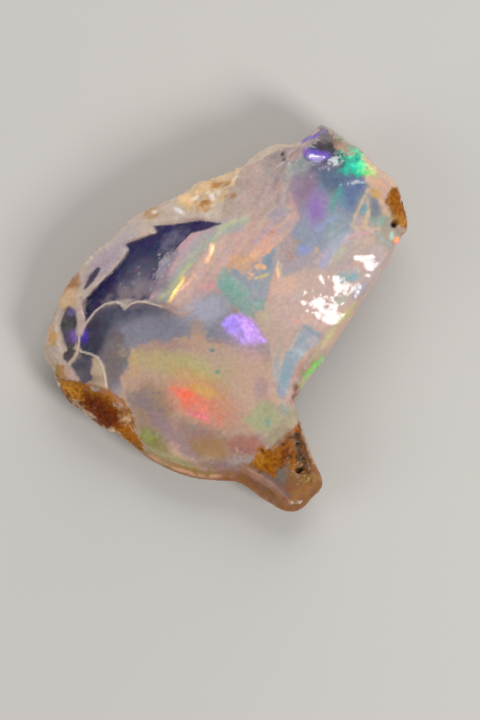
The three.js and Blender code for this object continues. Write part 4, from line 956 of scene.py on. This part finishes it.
def border_share(places):
    """1 along the borders that run softly into each other, 0 away from them."""
    return np.max([smooth_step(1 + BORDER_CORE - distance_to_course(places, course) / reach)
                   for _, reach, _, course in SOFT_BORDERS], axis=0)


def streaked_shares(places):
    """For each streaked face, 1 on it and 0 elsewhere."""
    return [cover(distance_to_oval(places, middle, reach, direction), soft=1.5)
            for _, middle, reach, direction, _, _, _ in STREAKS]


def chip_share(places, chip, soft, torn=0.0):
    """1 on a glossy chip, 0 elsewhere."""
    _, middle, reach, turn, _ = chip
    return cover(distance_to_oval(places, middle, reach, turn) + torn, soft)


def gloss_share(points, ragged):
    """1 on every glossy chip, 0 elsewhere, frayed along the way the chips broke."""
    frayed = 0.3 * ragged + 0.7 * streaks(points, *CHIP_STRANDS, shift=30.0)
    return np.max([chip_share(points[:, :2], chip, soft=0.3, torn=frayed) for chip in GLOSSY_CHIPS],
                  axis=0)


def soften_borders(piece):
    """Lets neighbouring broken faces run into each other, with no change to the stone's outline."""
    points = points_of(piece)
    places = points[:, :2]
    for _, reach, drop, course in SOFT_BORDERS:
        lowered = np.exp(-(distance_to_course(places, course) / (BORDER_CORE * reach)) ** 2)
        points[:, 2] -= drop * lowered * (points[:, 2] > DROP_ABOVE)
    move_points(piece, points)
    soft = border_share(places)
    inner = smooth_step(-distance_to_outline(places, OUTLINE) - OUTLINE_MARGIN)
    keep_share(piece, "soft", soft)
    keep_share(piece, "inner soft", soft * inner)
    modify(piece, "SMOOTH", factor=0.9, iterations=ALL_ROUND_SMOOTHING, vertex_group="inner soft group")
    modify(piece, "SMOOTH", factor=0.9, iterations=HEIGHT_SMOOTHING, use_x=False, use_y=False,
           vertex_group="soft group")


def break_relief(points):
    """How high the streaks and the crests of the broken faces stand, and how deep their pits lie, in mm."""
    places = points[:, :2]
    rise = np.zeros(len(points))
    for shift, (row, share) in enumerate(zip(STREAKS, streaked_shares(places)), start=20):
        _, _, _, direction, width, depth, _ = row
        rise += depth * share * streaks(points, direction, width, shift)
    for _, middle, radius, depth in PITS:
        away = np.linalg.norm(places - middle, axis=1)
        rise -= depth * smooth_step(1.5 - away / radius)
    for crest in CRESTS:
        beside = np.maximum(crest.distance(places), 0)
        rise += CREST_HEIGHT * np.exp(-(beside / CREST_HALF_WIDTH) ** 2)
    return rise


def break_faces(piece):
    """Gives the broken faces their relief and turns their fresh chips to the key light."""
    points, normals = points_of(piece), normals_of(piece)
    places = points[:, :2]
    upward = rising(normals[:, 2], 0.2, over=0.4)
    moved = points + (break_relief(points) * upward)[:, None] * normals
    size, height = CHIP_FROST
    frost = height * clouds(points, size, shift=60.0)
    for chip in GLOSSY_CHIPS:
        _, middle, _, _, turned = chip
        share = chip_share(places, chip, soft=0.45) * upward
        gap = -(places - middle) @ np.array(CHIP_FALL) - moved[:, 2]
        gap -= np.average(gap, weights=share)
        moved[:, 2] += share * (frost + turned * gap)
    move_points(piece, moved)
    # The lumps and the grit that follow rise along the new normals.
    piece.data.update()


def roughen(piece):
    """Gives the skin and the crusts lumps and grit, and every face a faint unevenness.

    The flat that the stone rests on stays level.
    """
    for name, kind, size, height, share in RELIEFS:
        texture = bpy.data.textures.new(name, kind)
        texture.noise_scale = size * MM
        modify(piece, "DISPLACE", texture=texture, texture_coords="LOCAL", strength=height * MM,
               mid_level=0.5, vertex_group=share + " group" if share else "")
    points = points_of(piece)
    points[:, 2] = np.maximum(points[:, 2], 0)
    move_points(piece, points)


def fill_edges(piece):
    """Brings the thin edge out to where the photograph shows it."""
    points = points_of(piece)
    points[:, :2] *= SPREAD
    places = points[:, :2].copy()
    for _, push, course in FULLER_EDGES:
        near = np.exp(-(distance_to_course(places, course) / EDGE_REACH) ** 2)
        points[:, :2] += near[:, None] * push
    move_points(piece, points)


def side_colours(points, skin):
    """The sides and the underside: milky glass with soft colour on the breaks, tan crust on the skin."""
    drift = clouds(points, size=3.5, shift=1.0)
    milky = blend(linear(SIDE_MILK), linear(SIDE_GREY), smooth_step(0.5 + drift))
    for place, colour in enumerate(SIDE_FIRE):
        field = clouds(points, size=2.2, shift=10.0 + 7 * place)
        milky = blend(milky, linear(colour), 0.7 * rising(field, 0.12, over=0.5))
    low_edge = smooth_step((LOW_EDGE - points[:, 1] + drift) / 2)
    milky = blend(milky, linear(LOW_EDGE_AMBER), 0.75 * low_edge)
    crust = linear(SIDE_CRUST)
    for shift, size, colour, level in SIDE_PATCHES:
        field = clouds(points, size, shift, octaves=4)
        crust = blend(crust, linear(colour), rising(field, level, over=0.3))
    return blend(milky, crust, skin)


def colour_stone(piece, skin, streaked, ragged):
    """Paints the face from above and lets it run into the colours of the sides."""
    points, normals = points_of(piece), normals_of(piece)
    places = points[:, :2]
    # Level places keep the face's colours down to the thin edge, walls only near their top.
    level = points[:, 2] + 0.8 * ragged - 1.4 * (1 - normals[:, 2])
    upward = rising(normals[:, 2], -0.05, over=0.2) * rising(level, 0.9, over=1.6)
    face = painted(linear(FACE_GROUND), FACE, places, ragged)
    for place, (colour, share) in enumerate(STREAK_COLOURS):
        lines = rising(streaks(points, *COLOURED_STREAK, shift=40.0 + place), 0.1, over=0.5)
        face = blend(face, linear(colour), share * lines * streaked)
    face = blend(face, painted(linear(SKIN_GROUND), SKIN_MARKS, places, ragged), skin)
    specks = [speck for seed, row in enumerate(SPECKS) for speck in strewn(*row[1:], seed)]
    # Painted shade fills each pit.
    pit_shades = [glow(name, middle, (radius, radius), 0, PIT_SHADE, soft=0.2)
             for name, middle, radius, _ in PITS]
    face = painted(face, STAINS + POCKETS + CRESTS + specks + pit_shades, places, ragged)
    keep_colour(piece, "colour", blend(side_colours(points, skin), face, upward))
    # The painted glow of the fire sparkles in grains about 0.3 mm wide, from 0.4 to 1.6 times its colour.
    fire = painted(np.zeros(3), [mark for mark in FACE if mark.name in GLOWING_FIRE], places, ragged)
    flicker = 0.4 + 1.2 * smooth_step(0.5 + 1.5 * clouds(points, size=0.3, shift=50.0, octaves=2))
    keep_colour(piece, "fire", fire * (flicker * upward)[:, None])


def add(tree, kind, feeds=None, **settings):
    """Adds a node. Settings are its options, and feeds gives each socket a value or another node's output."""
    made = tree.nodes.new("ShaderNode" + kind)
    for name, value in settings.items():
        setattr(made, name, value)
    for socket, value in (feeds or {}).items():
        if isinstance(value, bpy.types.NodeSocket):
            tree.links.new(value, made.inputs[socket])
        else:
            made.inputs[socket].default_value = value
    return made


def new_material(name):
    """An empty material and its tree of nodes."""
    material = bpy.data.materials.new(name)
    material.use_nodes = True
    material.node_tree.nodes.clear()
    return material, material.node_tree


def broken_opal():
    """Hydrophane opal, a milky silica glass, broken and never polished.

    Its broken faces are glossy with a faint frost, its skin is dry and gritty, and its colour is soft,
    because it comes from under the surface.
    """
    material, tree = new_material("hydrophane opal, broken and left rough")
    place = add(tree, "TexCoord").outputs["Object"]
    colour = add(tree, "Attribute", attribute_name="colour").outputs["Color"]
    fire = add(tree, "Attribute", attribute_name="fire").outputs["Color"]
    skin = add(tree, "Attribute", attribute_name="skin").outputs["Fac"]
    stain = add(tree, "Attribute", attribute_name="stain").outputs["Fac"]
    frosted = add(tree, "Attribute", attribute_name="frost").outputs["Fac"]
    gloss = add(tree, "Attribute", attribute_name="gloss").outputs["Fac"]
    # Grain of 0.35 mm and finer, as the photograph's sharpest parts show, strongest on the stains.
    grain = add(tree, "TexNoise", {"Vector": place, "Scale": 1 / (0.35 * MM), "Detail": 4.0,
                                   "Roughness": 0.65}).outputs["Fac"]
    darkest = add(tree, "Mix", {SHARE: stain, FROM: 0.9, TO: 0.5}, data_type="FLOAT")
    lightest = add(tree, "Mix", {SHARE: stain, FROM: 1.1, TO: 1.45}, data_type="FLOAT")
    shade = add(tree, "MapRange", {"Value": grain, "From Min": 0.32, "From Max": 0.68,
                                   "To Min": darkest.outputs[NUMBER], "To Max": lightest.outputs[NUMBER]})
    grained = add(tree, "VectorMath", {0: colour, 1: shade.outputs["Result"]}, operation="MULTIPLY")
    # Faint cells of colour half a millimetre wide, the pinfire of the milky parts. The stains have none.
    cells = add(tree, "TexVoronoi", {"Vector": place, "Scale": 1 / (0.5 * MM)})
    pinfire = add(tree, "HueSaturation", {"Saturation": 0.6, "Value": 0.9, "Color": cells.outputs["Color"]})
    milky = add(tree, "Mix", {SHARE: stain, FROM: 0.04, TO: 0.0}, data_type="FLOAT")
    body = add(tree, "Mix", {SHARE: milky.outputs[NUMBER], FROM_COLOUR: grained.outputs["Vector"],
                             TO_COLOUR: pinfire.outputs["Color"]}, data_type="RGBA")
    # Glassy breaks have a faint frost in patches about a millimetre wide. Streaked and worn places are dull,
    # and the skin and the crusts are dry.
    frost = add(tree, "TexNoise", {"Vector": place, "Scale": 1 / (1.1 * MM), "Detail": 5.0, "Roughness": 0.6})
    glass = add(tree, "MapRange", {"Value": frost.outputs["Fac"], "From Min": 0.35, "From Max": 0.65,
                                   "To Min": 0.14, "To Max": 0.3})
    dulled = add(tree, "Mix", {SHARE: frosted, FROM: glass.outputs["Result"], TO: 0.58}, data_type="FLOAT")
    dry = add(tree, "Mix", {SHARE: skin, FROM: dulled.outputs[NUMBER], TO: 0.38}, data_type="FLOAT")
    rough = add(tree, "Mix", {SHARE: stain, FROM: dry.outputs[NUMBER], TO: 0.4}, data_type="FLOAT")
    # Grit stands up to 0.06 mm on the skin, and the breaks have about a seventh of it.
    grit = add(tree, "Mix", {SHARE: skin, FROM: 0.12, TO: 0.8}, data_type="FLOAT")
    bump = add(tree, "Bump", {"Strength": grit.outputs[NUMBER], "Distance": 0.06 * MM, "Height": grain})
    # The smoother the glass, the wetter it looks, and the fresh chips are like mirrors.
    wet = add(tree, "MapRange", {"Value": rough.outputs[NUMBER], "From Min": 0.14, "From Max": 0.5,
                                 "To Min": 0.18, "To Max": 0.0})
    coat = add(tree, "Mix", {SHARE: gloss, FROM: wet.outputs["Result"], TO: 0.9}, data_type="FLOAT")
    shader = add(tree, "BsdfPrincipled", {
        "Base Color": body.outputs[COLOUR],
        "Roughness": rough.outputs[NUMBER],
        "IOR": 1.45,
        "Specular IOR Level": 0.25,
        "Subsurface Weight": 0.3,
        "Subsurface Radius": (1.0, 0.75, 0.6),
        "Subsurface Scale": 0.9 * MM,
        "Coat Weight": coat.outputs[NUMBER],
        "Coat Roughness": 0.06,
        "Coat IOR": 1.45,
        # The fire attribute drives a painted glow: the brightest fire gives off light of its own.
        "Emission Color": fire,
        "Emission Strength": 0.28,
        "Normal": bump.outputs["Normal"],
    })
    add(tree, "OutputMaterial", {"Surface": shader.outputs["BSDF"]})
    return material


def pale_paper():
    """Matt paper, so that nothing but the stone has gloss."""
    material, tree = new_material("matt pale paper")
    shader = add(tree, "BsdfPrincipled", {"Base Color": (*linear("#cbc7c2"), 1), "Roughness": 0.9})
    add(tree, "OutputMaterial", {"Surface": shader.outputs["BSDF"]})
    return material


def make_stone():
    """The whole stone: a copy of the solid, with its fine surface and its colours."""
    stone = copy_of_solid("opal")
    stone.name = "precious_opal"
    # The material's shares are taken from the plain form, before its points move.
    points, normals = points_of(stone), normals_of(stone)
    places = points[:, :2]
    ragged = raggedness(points)
    skin = skin_share(points, normals, ragged)
    chips = gloss_share(points, ragged)
    # The clear window has no streaks.
    streaked = np.array(streaked_shares(places)) * (1 - share_of(["window"], places, ragged))
    dull = np.max([*streaked, border_share(places), share_of(WORN_EDGES, places, ragged)], axis=0)
    keep_share(stone, "skin", skin)
    keep_share(stone, "stain", share_of(CRUSTS, places, ragged))
    keep_share(stone, "lumps", share_of(LUMPS, places, ragged))
    keep_share(stone, "gloss", chips)
    keep_share(stone, "frost", dull * (1 - chips))
    soften_borders(stone)
    break_faces(stone)
    roughen(stone)
    fill_edges(stone)
    shown = np.array([row[-1] for row in STREAKS])
    colour_stone(stone, skin, np.max(shown[:, None] * streaked, axis=0), ragged)
    stone.data.materials.clear()
    stone.data.materials.append(broken_opal())
    select_only(stone)
    bpy.ops.object.shade_smooth()
    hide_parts("opal")
    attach(stone, "root")


def make_floor():
    """A pale floor under the stone."""
    bpy.ops.mesh.primitive_plane_add(size=FLOOR_WIDTH * MM)
    floor = bpy.context.active_object
    floor.name = "floor"
    floor.data.materials.append(pale_paper())


def make_lights():
    """Soft boxes round the stone, with none straight above, so that the clear places stay deep."""
    for name, azimuth, elevation, away, width, power in SOFT_BOXES:
        turn, height = math.radians(azimuth), math.radians(elevation)
        level = math.cos(height)
        direction = Vector((math.cos(turn) * level, math.sin(turn) * level, math.sin(height)))
        bpy.ops.object.light_add(type="AREA", location=direction * away * MM)
        light = bpy.context.active_object
        light.name = name
        light.rotation_euler = direction.to_track_quat("Z", "Y").to_euler()
        light.data.size = width * MM
        light.data.energy = power


def make_room():
    """Even grey light from all round, and colours shown as they are."""
    world = bpy.data.worlds.new("even grey room")
    bpy.context.scene.world = world
    world.use_nodes = True
    background = world.node_tree.nodes["Background"]
    background.inputs["Color"].default_value = (ROOM_LIGHT, ROOM_LIGHT, ROOM_LIGHT, 1)
    bpy.context.scene.view_settings.view_transform = "Standard"


def make_camera():
    """Looks straight down from where the long side of the picture takes in 60 mm."""
    shown = PHOTO_HEIGHT / PIXELS_PER_MM
    height = shown * LENS / SENSOR + SCALE_HEIGHT
    bpy.ops.object.camera_add(location=(VIEW_MIDDLE[0] * MM, VIEW_MIDDLE[1] * MM, height * MM))
    camera = bpy.context.active_object
    camera.data.lens = LENS
    camera.data.sensor_width = SENSOR
    camera.data.clip_start = NEAREST * MM
    bpy.context.scene.camera = camera


make_stone()
make_floor()
make_lights()
make_room()
make_camera()
